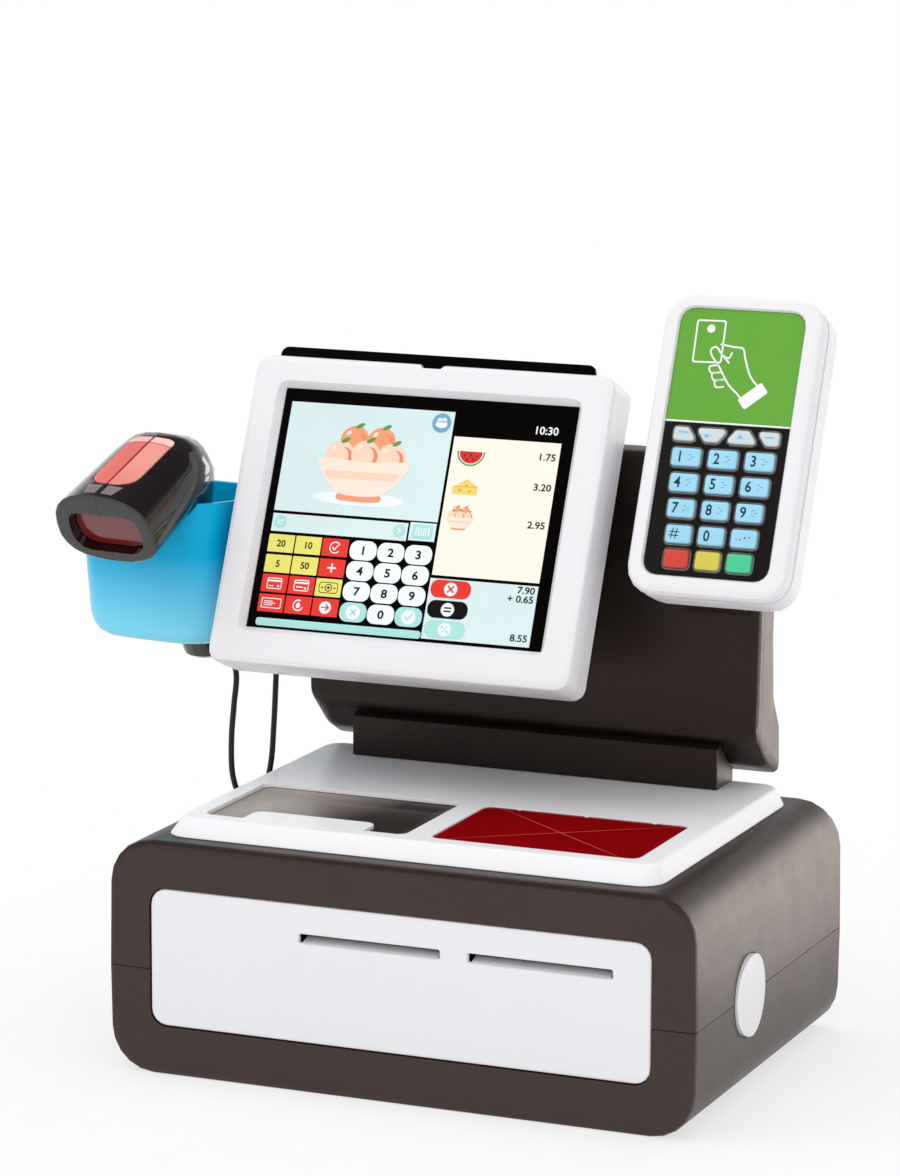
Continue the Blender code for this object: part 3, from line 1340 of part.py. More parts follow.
def make_scanner(stand):
    nose_low, nose_high = Vector(GUN_STATIONS[0][0]), Vector(GUN_STATIONS[0][1])
    nose_middle = (nose_low + nose_high) / 2
    face_up = (nose_high - nose_low).normalized()
    face_out = Vector((face_up.y, -face_up.x))

    def nose_ring(depth, inset):
        half_width, half_height = NOSE_WINDOW_HALF[0] - inset, NOSE_WINDOW_HALF[1] - inset
        shape = [
            (-half_width, -half_height), (half_width, -half_height),
            (half_width * 0.93, half_height), (-half_width * 0.93, half_height),
        ]
        points = outline(shape, (0.0120, 0.0120, 0.0085, 0.0085), steps=3)
        ring = []
        for across, rise in points:
            point = nose_middle + face_up * (rise - NOSE_WINDOW_DROP) + face_out * -depth
            ring.append((across, -point.x, point.y))
        return ring

    recess = body("nose_recess", [nose_ring(NOSE_RECESS, 0.0008), nose_ring(-0.006, -0.0006)], parent=stand)
    body(
        "scanner_window",
        [nose_ring(NOSE_RECESS - GAP, 0.0012), nose_ring(NOSE_RECESS - GAP - NOSE_WINDOW_THICK, 0.0012)],
        "red window",
        stand,
        (0, -nose_middle.x, nose_middle.y),
    )

    down = (station_middle(HANDLE_LOW) - station_middle(HANDLE_TOP)).normalized()
    handle_top = Vector(GUN_STATIONS[HANDLE_TOP][0])
    throat = Vector(GUN_STATIONS[HEAD_END][0])
    front_slope = (throat.x - handle_top.x) / (throat.y - handle_top.y)
    trigger_middle = (TRIGGER_LOW + TRIGGER_HIGH) / 2
    trigger_front = handle_top.x + (trigger_middle - handle_top.y) * front_slope

    def trigger_ring(depth, inset):
        """A ring parallel to the handle's front, depth behind the trigger's front face."""
        shape = rectangle((-TRIGGER_HALF_WIDTH, TRIGGER_HALF_WIDTH), (TRIGGER_LOW, TRIGGER_HIGH))
        ring = []
        for across, up in outline(shape, 0.0045, inset, steps=3):
            front = trigger_front + (up - trigger_middle) * front_slope + TRIGGER_RISE
            ring.append((across, -(front - depth), up))
        return ring

    trigger_well = body(
        "trigger_well",
        [trigger_ring(TRIGGER_DEPTH + TRIGGER_TRAVEL + 0.0008, -SLIDE_GAP / 1.5), trigger_ring(-0.010, -SLIDE_GAP / 1.5)],
        parent=stand,
    )
    body(
        "scanner_trigger",
        [trigger_ring(TRIGGER_DEPTH, 0.0), trigger_ring(0.0012, 0.0), trigger_ring(0.0003, 0.0008),
         trigger_ring(0.0, 0.0020)],
        "salmon plastic",
        stand,
        (0, -trigger_front, trigger_middle),
    )

    for side, name in ((-1, "left"), (1, "right")):
        half = gun_body(f"scanner_{name}_half", 0.0, "black gloss", stand, origin=(0, -0.0199, 0.3))
        block_x = (0.0 if side > 0 else -0.06, 0.06 if side > 0 else 0.0)
        block_x = (block_x[0] + (SEAM / 2 if side > 0 else 0), block_x[1] - (SEAM / 2 if side < 0 else 0))
        block = prism(f"scanner_{name}_side", rectangle(block_x, (-0.16, 0.06)), 0.19, 0.40, parent=stand)
        cut(half, block, "INTERSECT")

        low, high = (SEAM / 2 + 0.0002, INSERT_HALF_WIDTH)
        corners = [(low, -INSERT_FRONT), (high, -INSERT_FRONT), (high, -INSERT_REAR), (low, -INSERT_REAR)]
        rounding = (0.0004, 0.0125, 0.0030, 0.0004)
        if side < 0:
            corners = [(-x, y) for x, y in corners[::-1]]
            rounding = rounding[::-1]
        pocket = prism(
            f"insert_{name}_pocket", outline(corners, rounding, -GAP), 0.330, 0.40, parent=stand
        )
        cut(pocket, gun_body(f"insert_{name}_floor", -INSERT_DEPTH - GAP, parent=stand, last=8))
        cut(half, pocket)
        insert = prism(
            f"scanner_insert_{name}", outline(corners, rounding, GAP / 2), 0.332, 0.395, "salmon plastic", stand,
            origin=(0, -0.07, 0.355),
        )
        cut(insert, gun_body(f"insert_{name}_skin", GAP, parent=stand, last=8), "INTERSECT")
        cut(insert, gun_body(f"insert_{name}_under", -INSERT_DEPTH, parent=stand, last=8))
        cut(half, recess)
        cut(half, trigger_well)

    bottom_front, bottom_rear = Vector(GUN_STATIONS[-1][0]), Vector(GUN_STATIONS[-1][1])
    exit_point = station_middle(-1) + (bottom_rear - bottom_front).normalized() * RELIEF_SHIFT
    relief_frame = frame("relief_frame", (0, -exit_point.x, exit_point.y), (0, 0, 0))
    relief_frame.parent = stand
    relief_frame.rotation_euler = (atan2(down.x, -down.y) * -1, 0, 0)
    relief = turned(
        "cord_relief_scanner", RELIEF_RADIUS, -RELIEF_LENGTH, -GAP, "cord rubber", parent=relief_frame, sides=16
    )
    flare = relief.modifiers.new("rounded end", "BEVEL")
    flare.width = 0.0012
    flare.segments = 2
    flare.limit_method = "ANGLE"
    flare.angle_limit = radians(50)
    return relief_frame


def holster_level(height, wall):
    """The cup's outline at one height: the sides round in further than the front towards the bottom."""
    side_round, front_round = (size - wall for size in HOLSTER_LOW_ROUND)
    rise = height - HOLSTER_LOW - wall
    side_in = side_round - (side_round**2 - max(side_round - rise, 0) ** 2) ** 0.5
    front_in = front_round - (front_round**2 - max(front_round - rise, 0) ** 2) ** 0.5
    front = HOLSTER_FRONT + HOLSTER_FRONT_SLOPE * (height - HOLSTER_LOW)
    corners = rectangle(
        (HOLSTER_X[0] + side_in, HOLSTER_X[1] - side_in), (-front + front_in, -HOLSTER_BACK - front_in)
    )
    return height, outline(corners, HOLSTER_CORNER, wall, steps=5)


def make_holster(stand):
    rises = (0.0, 0.0012, 0.0040, 0.0085, HOLSTER_LOW_ROUND[0], HOLSTER_TOP + 0.03 - HOLSTER_LOW)
    cup = stack("scanner_holster", [holster_level(HOLSTER_LOW + rise, 0.0) for rise in rises], "blue plastic", stand)
    arm = prism(
        "holster_arm",
        outline(rectangle(ARM_Y, ARM_Z), 0.006, steps=3),
        MAST_LEFT - 0.040,
        MAST_LEFT - GAP,
        plane="YZ",
    )
    join(cup, arm)
    rises = (0.0, 0.0012, 0.0045, HOLSTER_LOW_ROUND[0] - HOLSTER_WALL, HOLSTER_TOP + 0.04 - HOLSTER_LOW)
    inside = [holster_level(HOLSTER_LOW + HOLSTER_WALL + rise, HOLSTER_WALL) for rise in rises]
    cut(cup, stack("holster_room", inside, parent=stand))
    above = [(y, z) for y, z in HOLSTER_RIM] + [(HOLSTER_RIM[-1][0], 0.400), (HOLSTER_RIM[0][0], 0.400)]
    cut(cup, prism("holster_lip", above, -0.085, 0.060, parent=stand, plane="YZ"))
    notch = outline(rectangle(THROAT_NOTCH_X, (THROAT_NOTCH_LOW, 0.350)), (0.005, 0.005, 0.001, 0.001), steps=3)
    cut(cup, prism("throat_notch", notch, -0.070, -0.020, parent=stand, plane="XZ"))
    cut(cup, gun_body("holster_cradle", HEAD_CLEARANCE, parent=stand, last=HEAD_END))
    collar = [gun_ring(station, COLLAR_CLEARANCE) for station in GUN_STATIONS[HANDLE_TOP:HANDLE_LOW + 1]]
    on = (station_middle(HANDLE_LOW) - station_middle(HANDLE_LOW - 1)).normalized() * COLLAR_RUN
    collar.append([(x, y - on.x, z + on.y) for x, y, z in collar[-1]])
    cut(cup, body("holster_collar", collar, parent=stand))


def cord_stations():
    exit_mast = Vector((MAST_LEFT - RELIEF_LENGTH - GAP, CORD_EXIT_Y, CORD_EXIT_Z))
    stations = [
        exit_mast,
        exit_mast + Vector((-CORD_END_RUN, 0.0, 0.0)),
        (-0.1790, 0.1082, 0.2450),
        (-0.1880, 0.1105, 0.2340),
        (-0.1915, 0.1120, 0.2170),
        (-0.1928, 0.1130, 0.1957),
        (-0.1949, 0.1140, 0.1641),
        (-0.1965, 0.1130, 0.1399),
        (-0.1995, 0.1095, 0.1240),
        (-0.2062, 0.1030, 0.1160),
        (-0.2125, 0.0975, 0.1205),
        (-0.2153, 0.0935, 0.1356),
        (-0.2150, 0.0920, 0.1580),
        (-0.2131, 0.0920, 0.1805),
        (-0.2115, 0.0925, 0.2000),
        (-0.2155, 0.0935, 0.2110),
    ]
    return stations


def carry_on_deck(base_items):
    """Hangs all that stands on the deck on one frame, so that it follows the deck's height."""
    above = [item for item in bpy.data.objects if item.parent is None and item not in base_items]
    upper = frame("upper_frame", (0, 0, BASE_HEIGHT + DECK_RISE - LEVELS_FROM), (0, 0, 0))
    for item in above:
        item.parent = upper


def main():
    clear_scene()
    make_base()
    make_rails()
    make_drawer()
    make_button()
    make_deck()
    base_items = set(bpy.data.objects)
    face = frame("face_frame", FACE_ORIGIN, (pi / 2 - FACE_LEAN, 0, 0))
    stand = frame("scanner_frame", SCANNER_PLACE, (0, 0, radians(SCANNER_TURN)))
    make_mast()
    make_screen(face)
    make_mounts()
    make_pin_pad(face)
    relief_frame = make_scanner(stand)
    make_holster(stand)
    bpy.context.view_layer.update()
    stations = cord_stations()
    run = [relief_frame.matrix_world @ Vector((0, 0, -RELIEF_LENGTH - GAP - more)) for more in (CORD_END_RUN, 0.0)]
    tube("scanner_cord", smooth_route(stations + run, CORD_SPACING), CORD_RADIUS, "cord rubber")
    carry_on_deck(base_items)
    bpy.context.view_layer.update()


main()
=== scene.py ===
"""Looks of the toy self checkout stand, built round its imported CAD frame. Metres, +Z up."""

from math import atan2, cos, pi, radians, sin

import bmesh
import bpy
from mathutils import Matrix, Vector


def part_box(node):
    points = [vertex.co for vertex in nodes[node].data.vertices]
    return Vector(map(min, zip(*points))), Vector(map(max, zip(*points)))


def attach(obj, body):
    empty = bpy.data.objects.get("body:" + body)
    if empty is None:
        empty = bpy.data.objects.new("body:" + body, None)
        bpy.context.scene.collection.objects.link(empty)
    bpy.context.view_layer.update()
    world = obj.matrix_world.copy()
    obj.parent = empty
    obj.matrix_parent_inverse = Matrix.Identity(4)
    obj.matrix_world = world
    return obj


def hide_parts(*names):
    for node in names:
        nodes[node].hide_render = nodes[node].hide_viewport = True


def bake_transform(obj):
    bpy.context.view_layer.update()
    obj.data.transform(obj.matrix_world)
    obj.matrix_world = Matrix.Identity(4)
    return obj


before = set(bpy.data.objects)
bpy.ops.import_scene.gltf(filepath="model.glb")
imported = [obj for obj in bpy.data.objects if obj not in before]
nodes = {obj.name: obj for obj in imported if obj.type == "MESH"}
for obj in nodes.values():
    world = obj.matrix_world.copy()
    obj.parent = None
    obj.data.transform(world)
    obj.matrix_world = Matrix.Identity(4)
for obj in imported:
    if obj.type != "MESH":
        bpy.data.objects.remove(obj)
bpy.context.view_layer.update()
scene = bpy.context.scene

MM = 0.001

# Places that scene.py shares with the CAD source
FACE_ORIGIN = Vector((0.0, 0.0, 0.2535))
FACE_LEAN = 0.407
FACE_UP = Vector((0.0, sin(FACE_LEAN), cos(FACE_LEAN)))
FACE_OUT = Vector((0.0, -cos(FACE_LEAN), sin(FACE_LEAN)))
CARD_FRONT = 0.0
PAD_FACE = 0.0040
KEY_TOP = 0.0066
KEY_CENTRE = 0.1375
KEY_ROWS = (0.1270, 0.1111, 0.0950, 0.0789, 0.0637)
KEY_PITCHES = (0.0236, 0.0201)
PARTING_HEIGHT = 0.0657
BUTTON_Y = -0.0405
SCANNER_PLACE = Vector((-0.225, 0.060, 0.0))
SCANNER_TURN = radians(-8.0)
SCANNER_AHEAD = Vector((sin(SCANNER_TURN), -cos(SCANNER_TURN), 0.0))
SCANNER_SIDE = Vector((cos(SCANNER_TURN), sin(SCANNER_TURN), 0.0))
CARD_SLOT_CENTRES = {"a": -0.0176, "b": 0.0918}
CORD_RADIUS = 0.0019
CORD_STATIONS = (
    (-0.1643, 0.1070, 0.2480),
    (-0.1683, 0.1070, 0.2480),
    (-0.1790, 0.1082, 0.2450),
    (-0.1880, 0.1105, 0.2340),
    (-0.1915, 0.1120, 0.2170),
    (-0.1928, 0.1130, 0.1957),
    (-0.1949, 0.1140, 0.1641),
    (-0.1965, 0.1130, 0.1399),
    (-0.1995, 0.1095, 0.1240),
    (-0.2062, 0.1030, 0.1160),
    (-0.2125, 0.0975, 0.1205),
    (-0.2153, 0.0935, 0.1356),
    (-0.2150, 0.0920, 0.1580),
    (-0.2131, 0.0920, 0.1805),
    (-0.2115, 0.0925, 0.2000),
    (-0.2155, 0.0935, 0.2110),
    (-0.220821, 0.089739, 0.216394),
    (-0.221068, 0.087979, 0.219977),
)


# Camera: the photograph's place, heading and field of view
PHOTO_HEIGHT = 1176.0
FOCAL_PIXELS = 4679.3
SENSOR = 36.0
CAMERA_PLACE = (1.0761, -2.5900, 0.8239)
CAMERA_TURN, CAMERA_DOWN, CAMERA_ROLL = 0.401, 0.188, 0.004

camera_data = bpy.data.cameras.new("camera")
camera_data.sensor_width = SENSOR
camera_data.lens = FOCAL_PIXELS * SENSOR / PHOTO_HEIGHT
camera_data.clip_start = 0.05
camera_data.clip_end = 200.0
camera = bpy.data.objects.new("camera", camera_data)
heading = Matrix.Rotation(CAMERA_TURN, 4, "Z") @ Matrix.Rotation(pi / 2 - CAMERA_DOWN, 4, "X")
heading = heading @ Matrix.Rotation(CAMERA_ROLL, 4, "Z")
camera.matrix_world = Matrix.Translation(CAMERA_PLACE) @ heading
scene.collection.objects.link(camera)
scene.camera = camera


# Material nodes


def linear(colour):
    """An sRGB colour given in 0 to 255, as linear values."""
    values = []
    for part in colour:
        share = part / 255
        values.append(share / 12.92 if share <= 0.04045 else ((share + 0.055) / 1.055) ** 2.4)
    return values


def add_node(tree, kind, inputs=None, **settings):
    """A node with its settings; each input is linked to a socket or set to a value."""
    node = tree.nodes.new(kind)
    for key, value in settings.items():
        setattr(node, key, value)
    for key, value in (inputs or {}).items():
        if isinstance(value, bpy.types.NodeSocket):
            tree.links.new(value, node.inputs[key])
        else:
            node.inputs[key].default_value = value
    return node


def noise(tree, where, scale, detail=3.0, rough=0.5):
    inputs = {"Vector": where, "Scale": scale, "Detail": detail, "Roughness": rough}
    return add_node(tree, "ShaderNodeTexNoise", inputs).outputs["Fac"]


def ramp(tree, value, low, high, at_low, at_high):
    """Goes from at_low to at_high as the value goes from low to high, and stays level outside."""
    inputs = {"Value": value, "From Min": low, "From Max": high, "To Min": at_low, "To Max": at_high}
    return add_node(tree, "ShaderNodeMapRange", inputs).outputs["Result"]


def maths(tree, operation, *values):
    return add_node(tree, "ShaderNodeMath", dict(enumerate(values)), operation=operation).outputs[0]


def mixed(tree, share, first, second):
    """The first colour turned into the second by the share."""
    node = add_node(tree, "ShaderNodeMix", data_type="RGBA")
    sockets = {socket.identifier: socket for socket in node.inputs}
    for name, value in (("Factor_Float", share), ("A_Color", first), ("B_Color", second)):
        if isinstance(value, bpy.types.NodeSocket):
            tree.links.new(value, sockets[name])
        else:
            sockets[name].default_value = (*value, 1.0)
    return next(socket for socket in node.outputs if socket.identifier == "Result_Color")


def axis(tree, where, letter):
    return add_node(tree, "ShaderNodeSeparateXYZ", {0: where}).outputs[letter]


def along(tree, where, direction, start):
    """How far a point lies along a direction, counted from start."""
    dot = add_node(tree, "ShaderNodeVectorMath", {0: where, 1: direction}, operation="DOT_PRODUCT")
    return maths(tree, "SUBTRACT", dot.outputs["Value"], start)


def apart(tree, value, centre):
    """How far a value is from the centre, on either side."""
    return maths(tree, "ABSOLUTE", maths(tree, "SUBTRACT", value, centre))


# Parts of the noise's range in which the clouds, the specks and the gloss change
CLOUD_BAND = (0.32, 0.68)
SPECK_BAND = (0.60, 0.80)
GLOSS_BAND = (0.3, 0.7)
SPECK_SHARE = 0.5
GLOSS_SPREAD = 0.07
BUMP_DEPTH = 0.00008
COAT_ROUGHNESS = 0.06
GLOW_DEPTH = 0.002


def moulded(name, colour, rough, tone=0.05, grain=(1500.0, 0.10), edge=0.0005, coat=0.0, level=0.5,
            cloud=14.0, paint=None, through=0.0, tint=(1.0, 1.0, 1.0)):
    """Moulded plastic: a cloudy tone, a fine grain, uneven gloss and softened edges.

    Grain is the scale and strength of the fine bump, level and tint are those of the plain
    reflection, paint adds tones by place, and through is the share of light that goes in.
    """
    material = bpy.data.materials.new(name)
    material.use_nodes = True
    tree = material.node_tree
    shader = tree.nodes["Principled BSDF"]
    where = add_node(tree, "ShaderNodeTexCoord").outputs["Object"]
    clouds = noise(tree, where, cloud, 4.0, 0.55)
    dark = [part * (1 - tone) for part in linear(colour)]
    light = [min(part * (1 + tone), 1.0) for part in linear(colour)]
    shade = mixed(tree, ramp(tree, clouds, *CLOUD_BAND, 0.0, 1.0), dark, light)
    speck = noise(tree, where, grain[0] * 0.5, 2.0)
    darker = [part * (1 - tone) for part in dark]
    shade = mixed(tree, ramp(tree, speck, *SPECK_BAND, 0.0, SPECK_SHARE), shade, darker)
    if paint:
        shade = paint(tree, where, shade)
    tree.links.new(shade, shader.inputs["Base Color"])
    uneven = noise(tree, where, cloud * 4.0, 5.0, 0.6)
    spread = GLOSS_SPREAD * rough
    gloss = ramp(tree, uneven, *GLOSS_BAND, rough - spread, rough + spread)
    tree.links.new(gloss, shader.inputs["Roughness"])
    rounding = add_node(tree, "ShaderNodeBevel", {"Radius": edge}, samples=6)
    fine = noise(tree, where, grain[0], 3.0, 0.65)
    bump = add_node(tree, "ShaderNodeBump", {
        "Strength": grain[1], "Distance": BUMP_DEPTH, "Height": fine, "Normal": rounding.outputs["Normal"],
    })
    tree.links.new(bump.outputs["Normal"], shader.inputs["Normal"])
    shader.inputs["Specular IOR Level"].default_value = level
    shader.inputs["Specular Tint"].default_value = (*tint, 1.0)
    if coat:
        shader.inputs["Coat Weight"].default_value = coat
        shader.inputs["Coat Roughness"].default_value = COAT_ROUGHNESS
    if through:
        shader.inputs["Subsurface Weight"].default_value = through
        shader.inputs["Subsurface Scale"].default_value = GLOW_DEPTH
        shader.inputs["Subsurface Radius"].default_value = (1.0, 1.0, 1.0)
    return material


# Tones painted by place on the object, all but the pane line being painted light and shade: each has its sRGB
# colour, and a ramp from one distance to another with its share of the colour at both
TONES = {
    "pane line": ((250, 120, 104), (0.00015, 0.00042, 0.75, 0.0)),
    # painted light on the change tray
    "tray painted light": ((172, 160, 152), (-0.112, -0.040, 0.95, 0.0)),
    # a painted reflection on the holster
    "holster painted reflection": ((156, 236, 255), (0.236, 0.292, 0.72, 0.0)),
    # painted shade in the gaps of the base
    "parting line shade": ((12, 8, 7), (0.00035, 0.0006, 0.9, 0.0)),
    "button ring shade": ((12, 8, 7), (0.0262, 0.0268, 0.95, 0.0)),
    # a painted highlight on the keypad's rims
    "rim top highlight": ((164, 156, 150), (0.0001, 0.0005, 0.0, 0.62)),
    # painted light and shade on the scanner's inserts
    "insert rear highlight": ((255, 226, 218), (0.0500, 0.0510, 0.55, 0.0)),
    "insert seam shade": ((176, 52, 48), (0.0002, 0.0007, 0.8, 0.0)),
    "insert middle shade": ((170, 40, 38), (0.0006, 0.0012, 0.9, 0.0)),
    "insert front shade": ((226, 112, 104), (0.0700, 0.0960, 0.0, 0.45)),
}
PANE_CENTRE = Vector((0.0735, -0.0540, 0.0))
PANE_SLOPES = (0.72, -0.78)
PANE_FADE = (0.020, 0.060, 1.0, 0.25)
TRAY_LEAN = -0.35
RIGHT_SIDE = (0.170, 0.180, 0.0, 1.0)
INSERT_SEAM = 0.0510


def toned(tree, shade, name, value, limit=None):
    """The shade with a tone laid over it, by the tone's ramp and within the limit, if there is one."""
    colour, spread = TONES[name]
    share = ramp(tree, value, *spread)
    if limit is not None:
        share = maths(tree, "MULTIPLY", share, limit)
    return mixed(tree, share, shade, linear(colour))


def pane_lines(tree, where, shade):
    """Two pale scored lines that cross in the red pane and fade towards their ends."""
    fade = ramp(tree, apart(tree, axis(tree, where, "X"), PANE_CENTRE.x), *PANE_FADE)
    for slope in PANE_SLOPES:
        across = Vector((slope, -1.0, 0.0)).normalized()
        away = maths(tree, "ABSOLUTE", along(tree, where, across, PANE_CENTRE.dot(across)))
        shade = toned(tree, shade, "pane line", away, fade)
    return shade


def tray_tones(tree, where, shade):
    """The change tray: painted light, grey-brown at its left rear, that fades to painted shade on the right.
    """
    lean = maths(tree, "MULTIPLY", axis(tree, where, "Y"), TRAY_LEAN)
    return toned(tree, shade, "tray painted light", maths(tree, "ADD", axis(tree, where, "X"), lean))


def holster_tones(tree, where, shade):
    """The holster: deep blue below its rim that grows paler towards the floor of the cup, a painted
    reflection.
    """
    return toned(tree, shade, "holster painted reflection", axis(tree, where, "Z"))


def base_lines(tree, where, shade):
    """The base: painted shade in its gaps, as a dark line all round where the shells part and a dark ring
    round the button.
    """
    off = apart(tree, axis(tree, where, "Z"), PARTING_HEIGHT)
    shade = toned(tree, shade, "parting line shade", off)
    across = maths(tree, "SUBTRACT", axis(tree, where, "Y"), BUTTON_Y)
    squares = [maths(tree, "MULTIPLY", side, side) for side in (across, off)]
    out = maths(tree, "SQRT", maths(tree, "ADD", *squares))
    return toned(tree, shade, "button ring shade", out, ramp(tree, axis(tree, where, "X"), *RIGHT_SIDE))


def rim_tones(tree, where, shade):
    """The keypad frame: the raised rims round the keys are a little paler at their tops, a painted highlight.
    """
    rise = along(tree, where, FACE_OUT, FACE_ORIGIN.dot(FACE_OUT) + PAD_FACE)
    return toned(tree, shade, "rim top highlight", rise)


def insert_tones(tree, where, shade):
    """The inserts: painted shade at a seam across and along the gap between the two, a painted highlight
    behind the seam, and a front deepened by painted shade.
    """
    ahead = along(tree, where, SCANNER_AHEAD, SCANNER_PLACE.dot(SCANNER_AHEAD))
    aside = along(tree, where, SCANNER_SIDE, SCANNER_PLACE.dot(SCANNER_SIDE))
    shade = toned(tree, shade, "insert rear highlight", ahead)
    shade = toned(tree, shade, "insert seam shade", apart(tree, ahead, INSERT_SEAM))
    shade = toned(tree, shade, "insert middle shade", maths(tree, "ABSOLUTE", aside))
    return toned(tree, shade, "insert front shade", ahead)


# Materials, and the CAD nodes that each one covers
DARK = {"tone": 0.06, "grain": (1700.0, 0.16), "edge": 0.0003, "tint": (1.0, 0.84, 0.78)}
BLACK_GLOSS = {"tone": 0.08, "grain": (900.0, 0.02)}
PLAIN_WHITE = {"tone": 0.004, "grain": (1300.0, 0.04), "edge": 0.0006}
SALMON = {"tone": 0.03, "grain": (1200.0, 0.06), "paint": insert_tones}
KEY = {"grain": (1500.0, 0.06), "edge": 0.0004}

MATERIALS = {
    "dark": moulded("dark_moulded", (45, 32, 29), 0.42, level=0.6, **DARK),
    "base": moulded("base_moulded", (45, 32, 29), 0.42, level=0.6, paint=base_lines, **DARK),
    "mast": moulded("mast_moulded", (26, 15, 13), 0.42, level=0.5, **DARK),
    "tray": moulded("dark_satin", (50, 40, 38), 0.34, grain=(1500.0, 0.05), paint=tray_tones),
    "black": moulded("black_gloss", (24, 18, 16), 0.10, edge=0.0003, coat=0.4, **BLACK_GLOSS),
    "frame_black": moulded("keypad_black", (20, 14, 13), 0.26, level=1.0, paint=rim_tones, **BLACK_GLOSS),
    "white": moulded("white_moulded", (233, 232, 235), 0.30, level=0.10, **PLAIN_WHITE),
    "white_pad": moulded("white_pad", (233, 232, 235), 0.36, level=0.02, **PLAIN_WHITE),
    "white_gloss": moulded("white_gloss", (238, 237, 240), 0.24, tone=0.004, grain=(1000.0, 0.02),
                           edge=0.0010, level=0.06),
    "blue": moulded("blue_moulded", (0, 176, 224), 0.20, tone=0.02, grain=(1100.0, 0.02), edge=0.0012,
                    level=0.14, paint=holster_tones),
    "red_pane": moulded("red_pane", (134, 2, 8), 0.14, tone=0.08, grain=(800.0, 0.02), level=0.04,
                        paint=pane_lines),
    "red_lens": moulded("red_lens", (112, 30, 28), 0.10, tone=0.10, grain=(800.0, 0.02), edge=0.0002,
                        coat=0.6),
    "salmon": moulded("salmon_insert", (234, 152, 140), 0.34, **SALMON),
    # the left insert's salmon is a darker copy of the right's, as painted shade
    "salmon_shaded": moulded("salmon_insert_shaded", (226, 112, 102), 0.34, **SALMON),
    "trigger": moulded("salmon_trigger", (228, 112, 102), 0.34, grain=(1200.0, 0.08)),
    "green": moulded("green_label", (101, 168, 54), 0.50, tone=0.02, grain=(2200.0, 0.12), level=0.3),
    "card": moulded("card_black", (8, 5, 5), 0.16, tone=0.10, grain=(2400.0, 0.02), level=0.22),
    "key_blue": moulded("key_blue", (160, 216, 240), 0.24, through=0.2, **KEY),
    "key_pale": moulded("key_pale", (208, 218, 222), 0.26, tone=0.04, through=0.2, **KEY),
    "key_red": moulded("key_red", (212, 70, 60), 0.28, **KEY),
    "key_yellow": moulded("key_yellow", (214, 204, 84), 0.28, **KEY),
    "key_green": moulded("key_green", (74, 206, 148), 0.28, **KEY),
    "rubber": moulded("cord_rubber", (44, 38, 37), 0.56, tone=0.10, grain=(2600.0, 0.25), level=0.4),
    "nose": moulded("nose_grey", (128, 123, 121), 0.16, tone=0.03, grain=(900.0, 0.02), edge=0.0003,
                    coat=0.3),
    "steel": moulded("steel", (170, 170, 172), 0.30, tone=0.06, grain=(1800.0, 0.15)),
    "board": moulded("circuit_board", (26, 92, 52), 0.45, tone=0.10, grain=(1400.0, 0.12)),
}
MATERIALS["steel"].node_tree.nodes["Principled BSDF"].inputs["Metallic"].default_value = 1.0

COVERED = {
    "base": "base_lower_shell base_upper_shell",
    "dark": (
        "battery_door drawer_rail_left drawer_rail_right drawer_tray coin_insert "
        "screen_backplate screen_mount pinpad_mount"
    ),
    "mast": "mast_front_shell mast_rear_shell mast_foot",
    "tray": "change_tray",
    "black": "scanner_left_half scanner_right_half",
    "frame_black": "keypad_frame",
    "white": "drawer_front drawer_button scan_light screen_bezel screen_rear_shell",
    "white_pad": "pinpad_front_shell pinpad_rear_shell",
    "white_gloss": "top_deck",
    "blue": "scanner_holster",
    "red_pane": "scan_window",
    "red_lens": "scanner_window",
    "salmon": "scanner_insert_right",
    "salmon_shaded": "scanner_insert_left",
    "trigger": "scanner_trigger",
    "green": "pinpad_label",
    "card": "screen_card",
    "key_blue": "key_1 key_2 key_3 key_4 key_5 key_6 key_7 key_8 key_9 key_sign key_0 key_dots",
    "key_pale": "soft_key_a soft_key_b soft_key_c soft_key_d",
    "key_red": "red_key",
    "key_yellow": "yellow_key",
    "key_green": "green_key",
    "rubber": "scanner_cord cord_relief_mast cord_relief_scanner",
    "steel": "battery_a battery_b battery_c speaker",
    "board": "circuit_board",
}
CREASE = 32.0
OWN_CREASE = {"drawer_button": 8.0}
WELD_REACH = 0.000002


def dress(item, material, crease):
    """Gives a CAD node its material and smooth shading; its shape stays as it is."""
    item.data.materials.clear()
    item.data.materials.append(material)
    if "custom_normal" in item.data.attributes:
        item.data.attributes.remove(item.data.attributes["custom_normal"])
    item.data.polygons.foreach_set("use_smooth", [True] * len(item.data.polygons))
    weld = item.modifiers.new("weld", "WELD")
    weld.merge_threshold = WELD_REACH
    split = item.modifiers.new("creases", "EDGE_SPLIT")
    split.split_angle = radians(crease)
    split.use_edge_sharp = False
    even = item.modifiers.new("even normals", "WEIGHTED_NORMAL")
    even.weight = 50
    even.keep_sharp = False


for key, names in COVERED.items():
    for node_name in names.split():
        dress(nodes[node_name], MATERIALS[key], OWN_CREASE.get(node_name, CREASE))


# Shapes for the prints: lists of corners in millimetres, in the plane that they are printed on
CURVE_STEPS = 6
END_STEPS = 6
SHORTEST_STEP = 1e-6


def on_face(x, y, level):
    """World point of a place in the tilted plane that the screen and the pin pad share."""
    return FACE_ORIGIN + Vector((x, 0.0, 0.0)) + FACE_UP * y + FACE_OUT * level


def boxed(x0, y0, x1, y1):
    return [(x0, y0), (x1, y0), (x1, y1), (x0, y1)]


